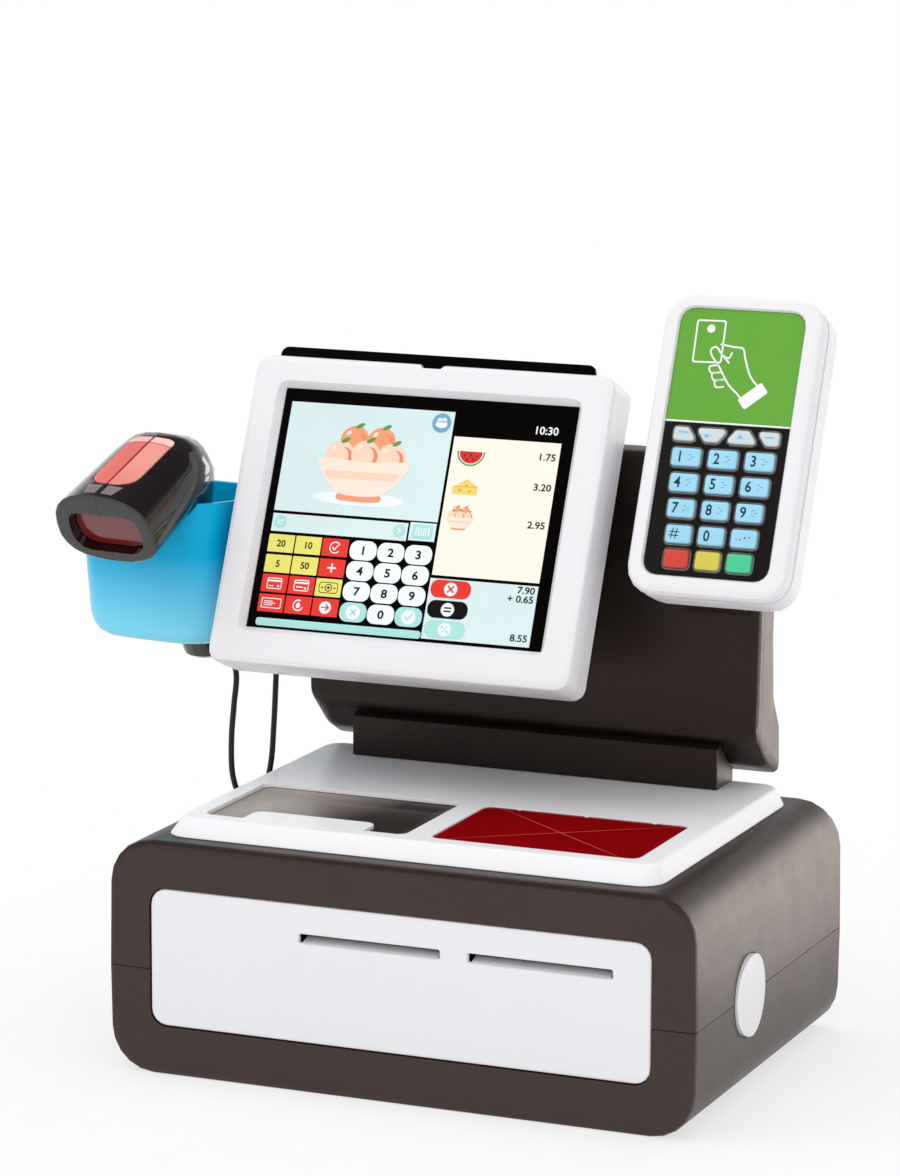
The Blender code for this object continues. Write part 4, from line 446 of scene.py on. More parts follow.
def rounded(x, y, width, height, radius, steps=6):
    """A rectangle about (x, y) with round corners."""
    across, up = width / 2 - radius, height / 2 - radius
    corners = ((x + across, y - up, -90), (x + across, y + up, 0), (x - across, y + up, 90),
               (x - across, y - up, 180))
    points = []
    for cx, cy, start in corners:
        for k in range(steps + 1):
            angle = radians(start + 90 * k / steps)
            points.append((cx + radius * cos(angle), cy + radius * sin(angle)))
    return points


def turned(points, x, y, angle):
    """The points turned about the origin and then moved to (x, y)."""
    c, s = cos(angle), sin(angle)
    return [(x + px * c - py * s, y + px * s + py * c) for px, py in points]


def oval(x, y, width, height, turn=0.0, steps=36):
    angles = [2 * pi * k / steps for k in range(steps)]
    return turned([(width / 2 * cos(a), height / 2 * sin(a)) for a in angles], x, y, turn)


def spline(p0, p1, p2, p3, t):
    """A smooth line's place between p1 and p2, for numbers or vectors."""
    return 0.5 * (
        2 * p1
        + (p2 - p0) * t
        + (2 * p0 - 5 * p1 + 4 * p2 - p3) * t**2
        + (3 * p1 - p0 - 3 * p2 + p3) * t**3
    )


def curved(points, closed=False):
    """A smooth line through the points."""
    count = len(points)
    smooth = []
    for k in range(count if closed else count - 1):
        if closed:
            around = [points[(k + j) % count] for j in (-1, 0, 1, 2)]
        else:
            around = [points[min(max(k + j, 0), count - 1)] for j in (-1, 0, 1, 2)]
        for step in range(CURVE_STEPS):
            smooth.append(tuple(spline(*four, step / CURVE_STEPS) for four in zip(*around)))
    if not closed:
        smooth.append(tuple(points[-1]))
    return smooth


def stroke(line, width, closed=False):
    """Quads side by side along a line of that width, with round ends where the line is open."""
    count = len(line)
    edges = []
    for k, (x, y) in enumerate(line):
        before = line[k - 1] if k or closed else None
        after = line[(k + 1) % count] if k < count - 1 or closed else None
        ways = []
        for first, second in ((before, (x, y)), ((x, y), after)):
            if first and second:
                step = Vector((second[0] - first[0], second[1] - first[1]))
                if step.length > SHORTEST_STEP:
                    ways.append(step.normalized())
        way = sum(ways, Vector((0.0, 0.0)))
        way = way.normalized() if way.length > 0.1 else ways[0]
        reach = width / 2 / max(abs(way.dot(ways[0])), 0.5)
        left, right = (x - way.y * reach, y + way.x * reach), (x + way.y * reach, y - way.x * reach)
        edges.append((left, right, atan2(way.y, way.x)))
    shapes = []
    for k in range(count if closed else count - 1):
        first, second = edges[k], edges[(k + 1) % count]
        shapes.append([first[0], first[1], second[1], second[0]])
    if not closed:
        for (x, y), course, turn in ((line[0], edges[0][2], pi / 2), (line[-1], edges[-1][2], -pi / 2)):
            angles = [course + turn + pi * j / END_STEPS for j in range(END_STEPS + 1)]
            shapes.append([(x + width / 2 * cos(a), y + width / 2 * sin(a)) for a in angles])
    return shapes


def crossed(x, y, reach, width):
    """Two strokes that cross at (x, y), as on a cancel key."""
    rising = stroke([(x - reach, y - reach), (x + reach, y + reach)], width)
    return rising + stroke([(x - reach, y + reach), (x + reach, y - reach)], width)


def words(text, x, y, size, anchor="CENTER", weight=0.0, squeeze=1.0):
    """Faces of the given figures, anchored on x and centred on y."""
    data = bpy.data.curves.new("figures", "FONT")
    data.body = text
    data.size = size
    data.offset = weight
    data.align_x = anchor
    data.align_y = "CENTER"
    data.resolution_u = 3
    item = bpy.data.objects.new("figures", data)
    scene.collection.objects.link(item)
    mesh = bpy.data.meshes.new_from_object(item.evaluated_get(bpy.context.evaluated_depsgraph_get()))
    heights = [vertex.co.y for vertex in mesh.vertices]
    middle = (min(heights) + max(heights)) / 2
    shapes = []
    for polygon in mesh.polygons:
        corners = [mesh.vertices[k].co for k in polygon.vertices]
        shapes.append([(x + corner.x * squeeze, y + corner.y - middle) for corner in corners])
    bpy.data.objects.remove(item)
    bpy.data.meshes.remove(mesh)
    return shapes


CREAM = (248, 244, 230)
PALE = (216, 236, 237)
AQUA = (170, 226, 221)
SNOW = (240, 246, 247)
BLACK = (10, 8, 8)
RED = (236, 50, 38)
YELLOW = (236, 228, 110)
PEACH = (250, 214, 188)
SHELL = (250, 232, 216)
CRUST = (244, 160, 118)
LEAF = (92, 160, 72)
FRUIT = (214, 44, 44)
BLUSH = (238, 140, 104)
LEMON = (244, 214, 112)
RIND = (222, 180, 80)
TEAL = (108, 170, 205)
INK_BLUE = (34, 52, 66)
DASH_BLUE = (96, 140, 165)
SOFT_BLUE = (110, 196, 236)
WHITE = (246, 247, 248)
INKS = {}

# The layers stay below the bezel's lip, which is 0.3 mm above the card
LAYER_STEP = 0.000016
LAYERS_HEIGHT = 0.00022


def ink(colour):
    if colour not in INKS:
        name = "ink_" + "_".join(str(part) for part in colour)
        INKS[colour] = moulded(name, colour, 0.42, tone=0.02, grain=(2600.0, 0.10), edge=0.0, level=0.3)
    return INKS[colour]


def printed(name, layers, body, base, to_world=on_face):
    """One piece from layers of (colour, shapes): each layer lies a little above the one before it."""
    mesh = bpy.data.meshes.new(name)
    colours = []
    step = min(LAYER_STEP, LAYERS_HEIGHT / len(layers))
    points, faces, owners = [], [], []
    for k, (colour, shapes) in enumerate(layers):
        if colour not in colours:
            colours.append(colour)
        level = base + step * (k + 1)
        for shape in shapes:
            turn = sum(a[0] * b[1] - b[0] * a[1] for a, b in zip(shape, shape[1:] + shape[:1]))
            ordered = shape if turn > 0 else shape[::-1]
            faces.append(list(range(len(points), len(points) + len(ordered))))
            points += [to_world(x * MM, y * MM, level) for x, y in ordered]
            owners.append(colours.index(colour))
    mesh.from_pydata(points, [], faces)
    for colour in colours:
        mesh.materials.append(ink(colour))
    mesh.polygons.foreach_set("material_index", owners)
    mesh.update()
    item = bpy.data.objects.new(name, mesh)
    scene.collection.objects.link(item)
    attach(item, body)


# Screen card: drawn with the list and totals on the left, and then set out by `placed`
LIST_EDGE = -82.2
LIST_SHIFT = 113.0
KEYS_SHIFT = -73.3
MELON = (-141.4, 122.2)
PILL_X = -140.2
PILL_ROWS = (34.3, 21.4, 8.8)
NUMBER_COLUMNS = (-16.4, 2.3, 21.0)
NUMBER_ROWS = (54.2, 41.1, 28.0, 14.7)
NUMBER_KEY = (18.2, 12.3, 5.2)
SQUARE_COLUMNS = (-72.6, -54.1, -35.6)
SQUARE_ROWS = (54.7, 41.6, 28.9, 16.2)
SQUARE_KEY = (17.6, 11.4, 0.5)


def placed(shape):
    """The list and its totals stand on the right of the card, the preview and the keys on the left."""
    middle = sum(x for x, _ in shape) / len(shape)
    shift = LIST_SHIFT if middle < LIST_EDGE else KEYS_SHIFT
    return [(x + shift, y) for x, y in shape]


def peach(x, y, size, tone):
    return [
        (tone, [oval(x, y, 0.78 * size, 0.74 * size)]),
        (BLUSH, [oval(x + 0.10 * size, y - 0.06 * size, 0.50 * size, 0.52 * size)]),
        (tone, [oval(x + 0.03 * size, y - 0.05 * size, 0.42 * size, 0.50 * size)]),
        (SHELL, [oval(x - 0.18 * size, y + 0.18 * size, 0.16 * size, 0.10 * size, 0.6)]),
        (LEAF, [oval(x + 0.10 * size, y + 0.38 * size, 0.26 * size, 0.11 * size, 0.5)]),
    ]


def bowl(x, y, size):
    """A bowl with five peaches, about (x, y)."""

    def at(points):
        return [(x + px * size, y + py * size) for px, py in points]

    layers = []
    rear, front = ((-0.36, 0.62), (0.38, 0.62)), ((-0.70, 0.22), (0.72, 0.22), (0.0, 0.26))
    for places, tone in ((rear, CRUST), (front, PEACH)):
        for px, py in places:
            layers += peach(x + px * size, y + py * size, size, tone)
    side = at([(-1.20, 0.10), (0.0, 0.06), (1.20, 0.10), (1.06, -0.36), (0.62, -0.76), (0.0, -0.84),
               (-0.62, -0.76), (-1.06, -0.36)])
    foot = at([(-0.46, -0.74), (0.46, -0.74), (0.54, -0.96), (-0.54, -0.96)])
    band = at([(-1.05, -0.20), (1.05, -0.20), (0.94, -0.40), (-0.94, -0.40)])
    return layers + [(CRUST, [curved(foot, True)]), (SHELL, [curved(side, True)]), (PEACH, [band])]


def panes():
    """The header's clock time, and the plain panes under everything else."""
    return [
        (SNOW, words("10:30", -86.0, 138.6, 7.0, "RIGHT", 0.12, 1.05)),
        (CREAM, [boxed(-154.3, 42.6, -82.9, 131.2)]),
        (PALE, [boxed(-81.5, 75.8, 30.1, 146.6), boxed(-81.3, 62.4, 10.9, 73.9),
                boxed(12.2, 63.2, 29.8, 74.8), boxed(-154.8, 2.2, -83.0, 40.6)]),
    ]


def shopping_list():
    """A slice of watermelon, a piece of cheese and a bowl of peaches, with plain figures."""

    def slice_of(radius):
        angles = [pi + pi * k / 18 for k in range(19)]
        return [(MELON[0] + radius * cos(a), MELON[1] + radius * sin(a)) for a in angles]

    seeds = ((-145.6, 119.4), (-141.4, 119.8), (-137.2, 119.4), (-143.5, 117.0), (-139.3, 117.0))
    cheese = [(-150.0, 94.6), (-133.4, 94.6), (-133.4, 99.8), (-141.0, 104.6), (-150.0, 99.2)]
    marks = [oval(-145.2, 97.2, 2.6, 2.2), oval(-138.4, 96.8, 1.9, 1.6), oval(-140.8, 100.4, 2.0, 1.5)]
    marks += stroke([(-150.0, 99.3), (-133.4, 99.9)], 0.5)
    figures = []
    for text, y in (("1.75", 121.8), ("3.20", 102.6), ("2.95", 78.6)):
        figures += words(text, -85.0, y, 6.2, "RIGHT", 0.11, 1.12)
    for text, y in (("7.90", 37.4), ("+ 0.65", 31.8), ("8.55", 7.4)):
        figures += words(text, -84.8, y, 6.1, "RIGHT", 0.11, 1.12)
    layers = [(LEAF, [slice_of(9.4)]), (CREAM, [slice_of(8.3)]), (FRUIT, [slice_of(7.7)])]
    layers += [(BLACK, [oval(x, y, 0.9, 1.5) for x, y in seeds]), (LEMON, [cheese]), (RIND, marks)]
    return layers + bowl(-142.0, 79.4, 7.6) + [(BLACK, figures)]


def preview():
    """The bowl at a large size on a pale cloth, with a round sign in the corner."""
    sign = [(22.0, 138.2, 8.0, 4.8), (20.6, 140.6, 3.4, 3.4), (23.6, 140.8, 3.4, 3.4)]
    layers = [(SNOW, [oval(-25.8, 86.6, 62.0, 9.0)])] + bowl(-25.8, 109.0, 24.6)
    return layers + [(TEAL, [oval(22.0, 139.0, 12.6, 12.4)]), (SNOW, [oval(*spot) for spot in sign])]


def thin_bar():
    """The bar under the preview: a cross, an arrow, and a button with upright lines."""
    buttons = [oval(-75.9, 68.4, 8.2, 8.0), oval(5.4, 68.6, 8.2, 8.0), rounded(21.0, 69.0, 13.4, 8.6, 1.6)]
    marks = crossed(-75.9, 68.4, 1.5, 0.8) + stroke([(4.7, 70.2), (6.3, 68.6), (4.7, 67.0)], 0.8)
    for k in range(6):
        marks.append(boxed(16.4 + 1.7 * k, 66.4, 17.1 + 1.7 * k + 0.3 * (k % 2), 71.6))
    return [(AQUA, buttons), (SNOW, marks)]


def number_keys():
    """The digits, with a cross and a tick on either side of 0."""
    left, middle, right = NUMBER_COLUMNS
    low = NUMBER_ROWS[3]
    digits = [(x, y) for y in NUMBER_ROWS[:3] for x in NUMBER_COLUMNS] + [(middle, low)]
    ends = ((left, low), (right, low))
    figures = []
    for text, (x, y) in zip("1234567890", digits):
        figures += words(text, x, y, 7.4, weight=0.22, squeeze=1.12)
    tick = stroke([(right - 2.2, low + 0.1), (right - 0.6, low - 1.8), (right + 2.4, low + 2.1)], 1.0)
    return [
        (SNOW, [rounded(x, y, *NUMBER_KEY) for x, y in digits]),
        (AQUA, [rounded(x, y, *NUMBER_KEY) for x, y in ends]),
        (SNOW, [oval(x, y, 9.6, 9.2) for x, y in ends]),
        (BLACK, figures),
        (AQUA, crossed(left, low, 1.8, 1.0) + tick),
    ]


def square_keys():
    """Plain amounts in yellow, and signs of paying in red."""
    left, middle, right = SQUARE_COLUMNS
    top, upper, lower, low = SQUARE_ROWS
    yellow = ((left, top), (middle, top), (left, upper), (middle, upper), (right, lower))
    red = ((right, top), (right, upper), (left, lower), (middle, lower), (left, low), (middle, low),
           (right, low))
    figures = []
    for text, (x, y) in zip(("20", "10", "5", "50"), yellow):
        figures += words(text, x, y, 6.0, weight=0.16)
    # a note: its edge, a ring with a spot, and a dot at each end
    figures += stroke(rounded(right, lower, 12.4, 6.6, 1.6, 4), 0.5, True)
    figures += stroke(oval(right, lower, 4.4, 4.4, steps=20), 0.6, True) + [oval(right, lower, 1.8, 1.8)]
    figures += [oval(right + shift, lower, 1.2, 1.2) for shift in (-4.2, 4.2)]
    # a tick in an open ring, and a plus sign
    marks = stroke(oval(right, top, 7.0, 7.0, 0.6, 24)[:20], 0.7)
    marks += stroke([(right - 1.6, top), (right - 0.3, top - 1.4), (right + 1.9, top + 1.5)], 0.8)
    marks += [
        boxed(right - 3.0, upper - 0.5, right + 3.0, upper + 0.5),
        boxed(right - 0.5, upper + 0.5, right + 0.5, upper + 3.0),
        boxed(right - 0.5, upper - 3.0, right + 0.5, upper - 0.5),
    ]
    # two cards, each with a stripe
    for k, x in enumerate((left, middle)):
        marks += stroke(rounded(x, lower, 9.6, 6.6, 0.8, 3), 0.6, True)
        marks += [
            boxed(x - 4.6, lower + 1.0, x + 4.6, lower + 2.2),
            boxed(x - 3.4, lower - 2.0 + 0.6 * k, x - 0.4 + 1.6 * k, lower - 1.3 + 0.6 * k),
            oval(x + 2.8, lower - 1.6, 1.5, 1.5),
        ]
    # a slip with three lines, an open ring with a spot, and a disc with an arrow
    marks += stroke(rounded(left, low, 13.0, 6.0, 0.6, 3), 0.6, True)
    for k in range(3):
        rise = low + 1.2 * k
        marks.append(boxed(left - 5.0, rise - 1.5, left + 1.0 + 1.8 * (k % 2), rise - 1.0))
    marks += stroke(oval(middle, low, 6.6, 6.6, 1.2, 24)[:19], 0.8)
    marks += [oval(middle, low, 2.8, 3.6), oval(right, low, 8.0, 7.8)]
    arrow = stroke([(right - 2.2, low), (right + 2.0, low)], 0.9)
    arrow += stroke([(right + 0.4, low + 1.8), (right + 2.2, low), (right + 0.4, low - 1.8)], 0.9)
    return [
        (YELLOW, [rounded(x, y, *SQUARE_KEY) for x, y in yellow]),
        (RED, [rounded(x, y, *SQUARE_KEY) for x, y in red]),
        (BLACK, figures),
        (SNOW, marks),
        (RED, arrow),
    ]


def totals():
    """The bar below the keys, and three pills with a cross, an equals sign and a percent sign."""
    top, middle, low = PILL_ROWS
    percent = stroke([(-141.8, 7.0), (-138.6, 10.6)], 0.8)
    percent += [oval(-142.0, 10.2, 1.8, 1.8), oval(-138.4, 7.4, 1.8, 1.8)]
    return [
        (AQUA, [rounded(-25.0, 4.1, 112.0, 5.0, 2.0)]),
        (RED, [rounded(PILL_X, top, 26.8, 11.2, 5.0)]),
        (BLACK, [rounded(PILL_X, middle, 26.8, 11.2, 5.0)]),
        (AQUA, [rounded(PILL_X, low, 26.8, 10.8, 5.0)]),
        (SNOW, [oval(PILL_X, y, 8.8, 8.6) for y in PILL_ROWS]),
        (RED, crossed(PILL_X, top, 1.8, 1.1)),
        (BLACK, [boxed(-142.6, 22.0, -137.8, 23.0), boxed(-142.6, 19.9, -137.8, 20.9)]),
        (AQUA, percent),
    ]


def screen_print():
    layers = panes() + shopping_list() + preview() + thin_bar() + number_keys() + square_keys() + totals()
    layers = [(colour, [placed(shape) for shape in shapes]) for colour, shapes in layers]
    printed("screen_print", layers, "card", CARD_FRONT)


screen_print()


# Pin pad: pictogram on the label and figures on the keys
HAND_SCALE = 1.24
HAND_FROM, HAND_TO = (136.4, 190.8), (136.0, 188.6)


def label_print():
    """A hand that holds a card, and the pale strip below it."""
    lines = stroke(turned(rounded(-2.6, 0.0, 14.6, 21.2, 1.0, 4), 123.6, 200.6, 0.02), 0.85, True)
    thumb = [(132.8, 190.2), (128.2, 194.6), (125.2, 197.8), (122.6, 196.6), (123.4, 193.4), (127.4, 188.8),
             (131.0, 183.6)]
    back = [(127.4, 199.4), (134.0, 198.4), (139.0, 197.8), (140.8, 193.0), (144.6, 184.4), (149.0, 179.6)]
    heel = [(131.0, 183.6), (134.6, 178.8), (139.6, 174.6), (141.4, 172.6)]
    for line in (thumb, back, heel):
        lines += stroke(curved(line), 0.9)
    for k in range(3):
        x, y = 124.8 + 1.9 * k, 187.2 - 3.6 * k
        finger = [(x + 2.6, y + 1.6), (x - 1.6, y + 0.6), (x - 0.6, y - 2.4), (x + 3.2, y - 2.0)]
        lines += stroke(curved(finger), 0.8)
    lines += stroke(curved([(133.6, 195.4), (132.4, 192.6), (129.8, 193.4)]), 0.8)
    cuff = [turned(rounded(0.0, 0.0, 6.4, 14.4, 0.9, 4), 147.6, 174.2, -0.86)]
    hole = [oval(121.0, 207.0, 4.2, 4.2)]

    def larger(shape):
        return [(HAND_TO[0] + HAND_SCALE * (x - HAND_FROM[0]), HAND_TO[1] + HAND_SCALE * (y - HAND_FROM[1]))
                for x, y in shape]

    layers = [(WHITE, [larger(shape) for shape in shapes]) for shapes in (lines, cuff, hole)]
    layers.append((WHITE, [boxed(96.7, 149.25, 176.4, 150.3)]))
    printed("label_print", layers, "stand", PAD_FACE)


label_print()


def key_place(row, column):
    """Middle of a key's top, in millimetres: the columns draw together towards the lowest row."""
    share = (KEY_ROWS[row] - KEY_ROWS[-1]) / (KEY_ROWS[0] - KEY_ROWS[-1])
    wide, narrow = KEY_PITCHES
    pitch = narrow + (wide - narrow) * share
    return (KEY_CENTRE + column * pitch) / MM, KEY_ROWS[row] / MM


def figure(text, x, y):
    return INK_BLUE, words(text, x, y, 9.4, weight=0.16, squeeze=0.88)


def key_prints():
    """A figure on each key, with three small dashes in place of its letters."""
    for k, text in enumerate("123456789"):
        x, y = key_place(k // 3, k % 3 - 1)
        dashes = []
        for j in range(3):
            start, level = x + 2.0 + 1.9 * (j % 2), y + 1.5 - 1.6 * j
            dashes += stroke([(start, level), (start + 1.4, level)], 0.45)
        printed(f"figure_{text}", [figure(text, x - 3.6, y), (DASH_BLUE, dashes)], f"key_{text}_cap", KEY_TOP)
    x, y = key_place(3, 0)
    printed("figure_0", [figure("0", x - 2.6, y)], "key_0_cap", KEY_TOP)
    x, y = key_place(3, -1)
    bars = []
    for foot in (x - 4.2, x - 1.6):
        bars += stroke([(foot, y - 3.0), (foot + 0.8, y + 3.0)], 0.6)
    for start, level in ((x - 5.2, y + 1.1), (x - 5.6, y - 1.1)):
        bars += stroke([(start, level), (start + 5.8, level)], 0.6)
    printed("figure_sign", [(INK_BLUE, bars)], "key_sign_cap", KEY_TOP)
    x, y = key_place(3, 1)
    dots = [oval(x - 4.4, y - 0.8, 0.7, 0.7), oval(x - 2.0, y - 0.8, 0.9, 1.1),
            oval(x + 0.8, y + 0.4, 1.2, 1.2), oval(x + 3.6, y + 0.8, 1.0, 1.0)]
    printed("figure_dots", [(INK_BLUE, dots)], "key_dots_cap", KEY_TOP)
    soft = {
        "a": boxed(107.0, 141.7, 113.4, 142.7),
        "b": [(123.2, 141.7), (125.3, 138.9), (127.4, 141.7)],
        "c": [(144.6, 140.3), (148.8, 140.3), (146.7, 143.3)],
        "d": boxed(162.2, 141.7, 168.2, 142.7),
    }
    for letter, shape in soft.items():
        printed(f"arrow_{letter}", [(SOFT_BLUE, [shape])], f"soft_key_{letter}_cap", KEY_TOP)


key_prints()


# Pieces made as meshes


def ring(bm, centre, radius, sides, across=Vector((1.0, 0.0, 0.0)), up=Vector((0.0, 1.0, 0.0))):
    """Corners of a circle in the plane of across and up."""
    angles = [2 * pi * k / sides for k in range(sides)]
    return [bm.verts.new(centre + (across * cos(a) + up * sin(a)) * radius) for a in angles]


def skin(bm, rows, closed=True, slot=0):
    """Smooth faces between neighbouring rows of corners."""
    for first, second in zip(rows, rows[1:]):
        for j in range(len(first) if closed else len(first) - 1):
            k = (j + 1) % len(first)
            face = bm.faces.new((first[j], first[k], second[k], second[j]))
            face.smooth = True
            face.material_index = slot


def add_piece(name, bm, *materials):
    mesh = bpy.data.meshes.new(name)
    bm.to_mesh(mesh)
    bm.free()
    for material in materials:
        mesh.materials.append(material)
    item = bpy.data.objects.new(name, mesh)
    scene.collection.objects.link(item)
    return item


# Cord: one smooth tube along the CAD cord's route
CORD_STEPS = 24
CORD_SPACING = 0.0022
CORD_SIDES = 18


def cord_line(spacing):
    """Points along the route, about as far apart as the spacing."""
    stations = [Vector(station) for station in CORD_STATIONS]
    fine = []
    for four in zip(stations, stations[1:], stations[2:], stations[3:]):
        fine += [spline(*four, k / CORD_STEPS) for k in range(CORD_STEPS)]
    points = stations[:2]
    for point in fine:
        if (point - points[-1]).length >= spacing and (point - stations[-2]).length >= spacing / 2:
            points.append(point)
    return points + stations[-2:]


def make_cord():
    line = cord_line(CORD_SPACING)
    bm = bmesh.new()
    rings = []
    side = Vector((0, 1, 0))
    for k, point in enumerate(line):
        way = (line[min(k + 1, len(line) - 1)] - line[max(k - 1, 0)]).normalized()
        side = (side - way * side.dot(way)).normalized()
        rings.append(ring(bm, point, CORD_RADIUS, CORD_SIDES, side, way.cross(side)))
    skin(bm, rings)
    bm.faces.new(rings[0][::-1])
    bm.faces.new(rings[-1])
    item = add_piece("cord", bm, MATERIALS["rubber"])
    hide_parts("scanner_cord")
    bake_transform(item)


make_cord()


# Screws in their wells on the backs of the mast, the pin pad and the screen: radius and rise of
# each ring of the well and the head, and the size of the two bars of the cross
SCREW_SIDES = 28
SCREW_LIFT = 0.00003
SCREW_TURN = 0.4
SCREW_WELL = (
    (0.0042, 0.0), (0.0042, 0.0005), (0.0037, 0.0008), (0.0032, 0.0005), (0.0030, 0.0001), (0.0026, 0.0001),
)
SCREW_HEAD = ((0.0024, 0.0001), (0.0024, 0.0004), (0.00204, 0.0007), (0.00108, 0.0009))
SLOT_LEVEL = 0.00096
SLOT_LENGTH, SLOT_WIDTH = 0.0024192, 0.000672


def screw_on(name, node_name, start, direction):
    """A screw where a line from start meets the node's skin: a dark well, a domed head, a cross in it."""
    direction = Vector(direction).normalized()
    _, place, normal, _ = nodes[node_name].ray_cast(Vector(start), direction)
    outward = normal if normal.dot(direction) < 0 else -normal
    bm = bmesh.new()
    well, head = [
        [ring(bm, Vector((0.0, 0.0, rise)), radius, SCREW_SIDES) for radius, rise in profile]
        for profile in (SCREW_WELL, SCREW_HEAD)
    ]
    skin(bm, well)
    skin(bm, head, slot=1)
    bm.faces.new(head[-1]).material_index = 1
    half_length, half_width = SLOT_LENGTH / 2, SLOT_WIDTH / 2
    for angle in (SCREW_TURN, SCREW_TURN + pi / 2):
        bar = turned(boxed(-half_length, -half_width, half_length, half_width), 0.0, 0.0, angle)
        bm.faces.new([bm.verts.new((x, y, SLOT_LEVEL)) for x, y in bar]).material_index = 2
    item = add_piece(name, bm, MATERIALS["dark"], MATERIALS["steel"], MATERIALS["card"])
    turn = outward.to_track_quat("Z", "Y").to_matrix().to_4x4()
    item.matrix_world = Matrix.Translation(place + outward * SCREW_LIFT) @ turn
    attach(item, "stand")


for side, x in (("left", -0.1390), ("right", 0.1290)):
    for level, z in (("high", 0.3480), ("low", 0.2600)):
        screw_on(f"mast_screw_{side}_{level}", "mast_rear_shell", (x, 0.30, z), (0, -1, 0))
for side, x in (("left", 0.1060), ("right", 0.1690)):
    screw_on(f"pad_screw_{side}", "pinpad_rear_shell", on_face(x, 0.2060, -0.20), FACE_OUT)
for side, x in (("left", -0.1600), ("right", 0.0400)):
    screw_on(f"screen_screw_{side}", "screen_rear_shell", on_face(x, 0.1500, -0.20), FACE_OUT)


# Two grey patches on the scanner's nose, ahead of the inserts: a painted reflection
PATCH_ACROSS, PATCH_ALONG = 8, 6
PATCH_START, PATCH_LENGTH = 0.0976, 0.0094
PATCH_INNER, PATCH_OUTER, PATCH_NARROWS = 0.0020, 0.0128, 0.0022
PATCH_EDGE_RISE, PATCH_RISE = 0.00002, 0.00016
ABOVE_ALL = 0.6
DOWN = Vector((0.0, 0.0, -1.0))


def nose_tab(name, node_name, sign):
    """A thin patch that follows the skin of one of the scanner's halves."""
    bm = bmesh.new()
    rows = []
    for j in range(PATCH_ALONG + 1):
        t = j / PATCH_ALONG
        outer = PATCH_OUTER - PATCH_NARROWS * t
        row = []
        for i in range(PATCH_ACROSS + 1):
            reach = sign * (PATCH_INNER + (outer - PATCH_INNER) * i / PATCH_ACROSS)
            start = SCANNER_PLACE + SCANNER_AHEAD * (PATCH_START + PATCH_LENGTH * t) + SCANNER_SIDE * reach
            _, place, normal, _ = nodes[node_name].ray_cast(start - DOWN * ABOVE_ALL, DOWN)
            at_edge = i in (0, PATCH_ACROSS) or j in (0, PATCH_ALONG)
            row.append(bm.verts.new(place + normal * (PATCH_EDGE_RISE if at_edge else PATCH_RISE)))
        rows.append(row)
    skin(bm, rows, closed=False)
    bmesh.ops.recalc_face_normals(bm, faces=bm.faces)
    if sum(face.normal.z for face in bm.faces) < 0:
        bmesh.ops.reverse_faces(bm, faces=bm.faces)
    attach(add_piece(name, bm, MATERIALS["nose"]), "scanner")


nose_tab("nose_tab_left", "scanner_left_half", -1.0)
nose_tab("nose_tab_right", "scanner_right_half", 1.0)


# Clips at the back edge of the red pane
_, pane_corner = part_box("scan_window")


def on_pane(x, y, rise):
    return Vector((x, y, pane_corner.z + rise))


clips = [rounded(x, pane_corner.y / MM - 5.0, 2.4, 1.8, 0.5, 3) for x in (29.0, 73.0, 117.0)]
printed("pane_clips", [(WHITE, clips)], "stand", 0.0, on_pane)


# Ramps behind the card slots, which lead a card up over the tray
RAMP_HALF = 0.0440
RAMP_OUTLINE = (
    (-0.1294, 0.0928), (-0.1225, 0.0950), (-0.1215, 0.0940), (-0.1225, 0.0931), (-0.1294, 0.0923),
)


def slot_ramp(name, centre):
    """A thin sheet whose profile in (y, z) runs behind one card slot."""
    bm = bmesh.new()
    sides = (centre - RAMP_HALF, centre + RAMP_HALF)
    ends = [[bm.verts.new((x, y, z)) for y, z in RAMP_OUTLINE] for x in sides]
    bm.faces.new(ends[0][::-1])
    bm.faces.new(ends[1])
    for k in range(len(RAMP_OUTLINE)):
        follow = (k + 1) % len(RAMP_OUTLINE)
        bm.faces.new((ends[0][k], ends[0][follow], ends[1][follow], ends[1][k]))
    bmesh.ops.recalc_face_normals(bm, faces=bm.faces)
    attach(add_piece(name, bm, MATERIALS["white"]), "drawer")


for letter, centre in CARD_SLOT_CENTRES.items():
    slot_ramp(f"slot_ramp_{letter}", centre)


# Floor, world and lights
FULL_WHITE = (1.0, 1.0, 1.0, 1.0)
FLOOR_RADIUS = 60.0
FLOOR_SIDES = 96
FLOOR_TONES = ((0.86, 0.86, 0.87), (0.89, 0.89, 0.90))
ROOM_LIGHT = 0.84
# Ramps: the floor's glow by distance, and the room seen in gloss by how far behind and how high
FLOOR_GLOW = (0.34, 1.00, 0.66, 1.0)
ROOM_BEHIND = (-0.45, 0.45, 0.06, 1.0)
ROOM_HEIGHT = (0.24, 0.62, 1.0, 0.12)


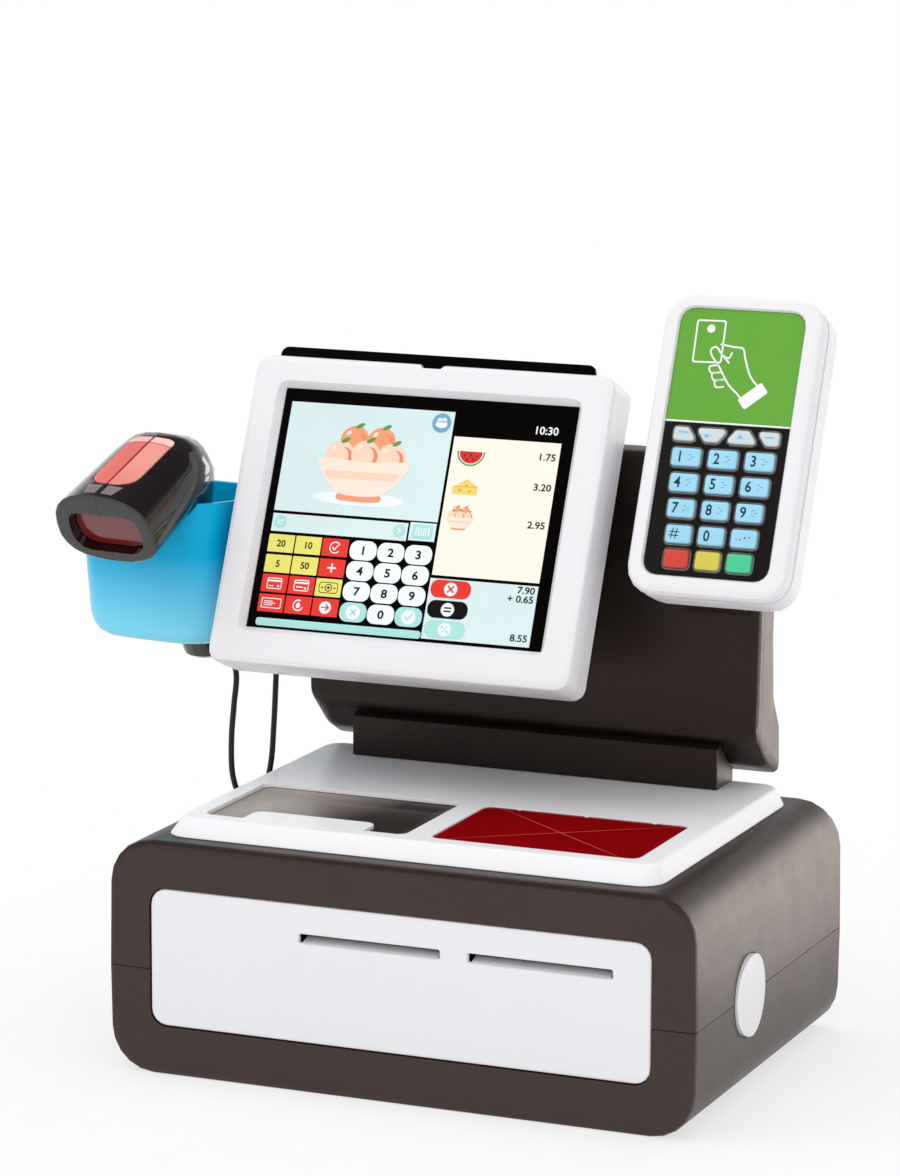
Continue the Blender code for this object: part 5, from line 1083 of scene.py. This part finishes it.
def make_floor():
    """A pale disc that keeps the shadows near the part and is white to the camera further out."""
    material = bpy.data.materials.new("pale_floor")
    material.use_nodes = True
    tree = material.node_tree
    tree.nodes.clear()
    where = add_node(tree, "ShaderNodeNewGeometry").outputs["Position"]
    away = add_node(tree, "ShaderNodeVectorMath", {0: where}, operation="LENGTH").outputs["Value"]
    far = ramp(tree, away, *FLOOR_GLOW)
    far.node.interpolation_type = "SMOOTHSTEP"
    path = add_node(tree, "ShaderNodeLightPath")
    seen = maths(tree, "MAXIMUM", path.outputs["Is Camera Ray"], path.outputs["Is Transmission Ray"])
    seen = maths(tree, "MAXIMUM", seen, path.outputs["Is Glossy Ray"])
    share = maths(tree, "MULTIPLY", far, seen)
    grain = ramp(tree, noise(tree, where, 30.0, 3.0), 0.3, 0.7, 0.0, 1.0)
    shade = mixed(tree, grain, *FLOOR_TONES)
    cloth = add_node(tree, "ShaderNodeBsdfDiffuse", {"Color": shade})
    glow = add_node(tree, "ShaderNodeEmission", {"Color": FULL_WHITE, "Strength": 1.0})
    both = add_node(tree, "ShaderNodeMixShader", {0: share, 1: cloth.outputs[0], 2: glow.outputs[0]})
    add_node(tree, "ShaderNodeOutputMaterial", {"Surface": both.outputs[0]})
    bm = bmesh.new()
    bm.faces.new(ring(bm, Vector((0.0, 0.0, 0.0)), FLOOR_RADIUS, FLOOR_SIDES))
    add_piece("floor", bm, material)


make_floor()


def make_world():
    """White to the camera, an even room for the light, and a room that is dark in front for gloss."""
    world = bpy.data.worlds.new("studio")
    scene.world = world
    world.use_nodes = True
    tree = world.node_tree
    tree.nodes.clear()
    path = add_node(tree, "ShaderNodeLightPath")
    glossy = path.outputs["Is Glossy Ray"]
    seen = maths(tree, "MAXIMUM", path.outputs["Is Camera Ray"], path.outputs["Is Transmission Ray"])
    where = add_node(tree, "ShaderNodeTexCoord").outputs["Generated"]
    behind = ramp(tree, axis(tree, where, "Y"), *ROOM_BEHIND)
    sky = ramp(tree, axis(tree, where, "Z"), *ROOM_HEIGHT)
    sheen = maths(tree, "MULTIPLY", maths(tree, "MULTIPLY", glossy, behind), sky)
    room = maths(tree, "MULTIPLY", maths(tree, "SUBTRACT", 1.0, glossy), ROOM_LIGHT)
    strength = maths(tree, "MAXIMUM", seen, maths(tree, "ADD", sheen, room))
    back = add_node(tree, "ShaderNodeBackground", {"Color": FULL_WHITE, "Strength": strength})
    add_node(tree, "ShaderNodeOutputWorld", {"Surface": back.outputs[0]})


make_world()

WARM = (1.0, 0.92, 0.85)
MIDDLE = (0.0, 0.0, 0.2)


def lamp(name, place, target, size, power, hidden_from="", colour=(1.0, 1.0, 1.0)):
    """A soft rectangular lamp that isn't seen by the kinds of ray named in hidden_from."""
    data = bpy.data.lights.new(name, "AREA")
    data.shape = "RECTANGLE"
    data.size, data.size_y = size
    data.energy = power
    data.color = colour
    item = bpy.data.objects.new(name, data)
    item.location = place
    item.rotation_euler = (Vector(target) - Vector(place)).to_track_quat("-Z", "Y").to_euler()
    for kind in hidden_from.split():
        setattr(item, "visible_" + kind, False)
    scene.collection.objects.link(item)


lamp("key", (-2.1, -1.3, 2.9), MIDDLE, (1.8, 1.6), 22.0)
lamp("fill", (1.6, -2.9, 1.3), MIDDLE, (1.4, 1.4), 15.0)
lamp("top", (-0.4, 0.5, 3.0), MIDDLE, (2.2, 2.2), 13.0, "glossy")
lamp("back", (0.5, 2.6, 2.2), MIDDLE, (1.6, 1.2), 12.0, "glossy")
lamp("sheen", (1.25, 2.65, 0.50), (0.1, 0.0, 0.3), (1.9, 0.9), 15.0, "diffuse", WARM)
lamp("sweep", (0.90, 1.40, 0.004), (0.90, 1.401, 5.0), (1.20, 2.40), 22.0,
     "camera diffuse transmission", WARM)

scene.view_settings.view_transform = "Standard"
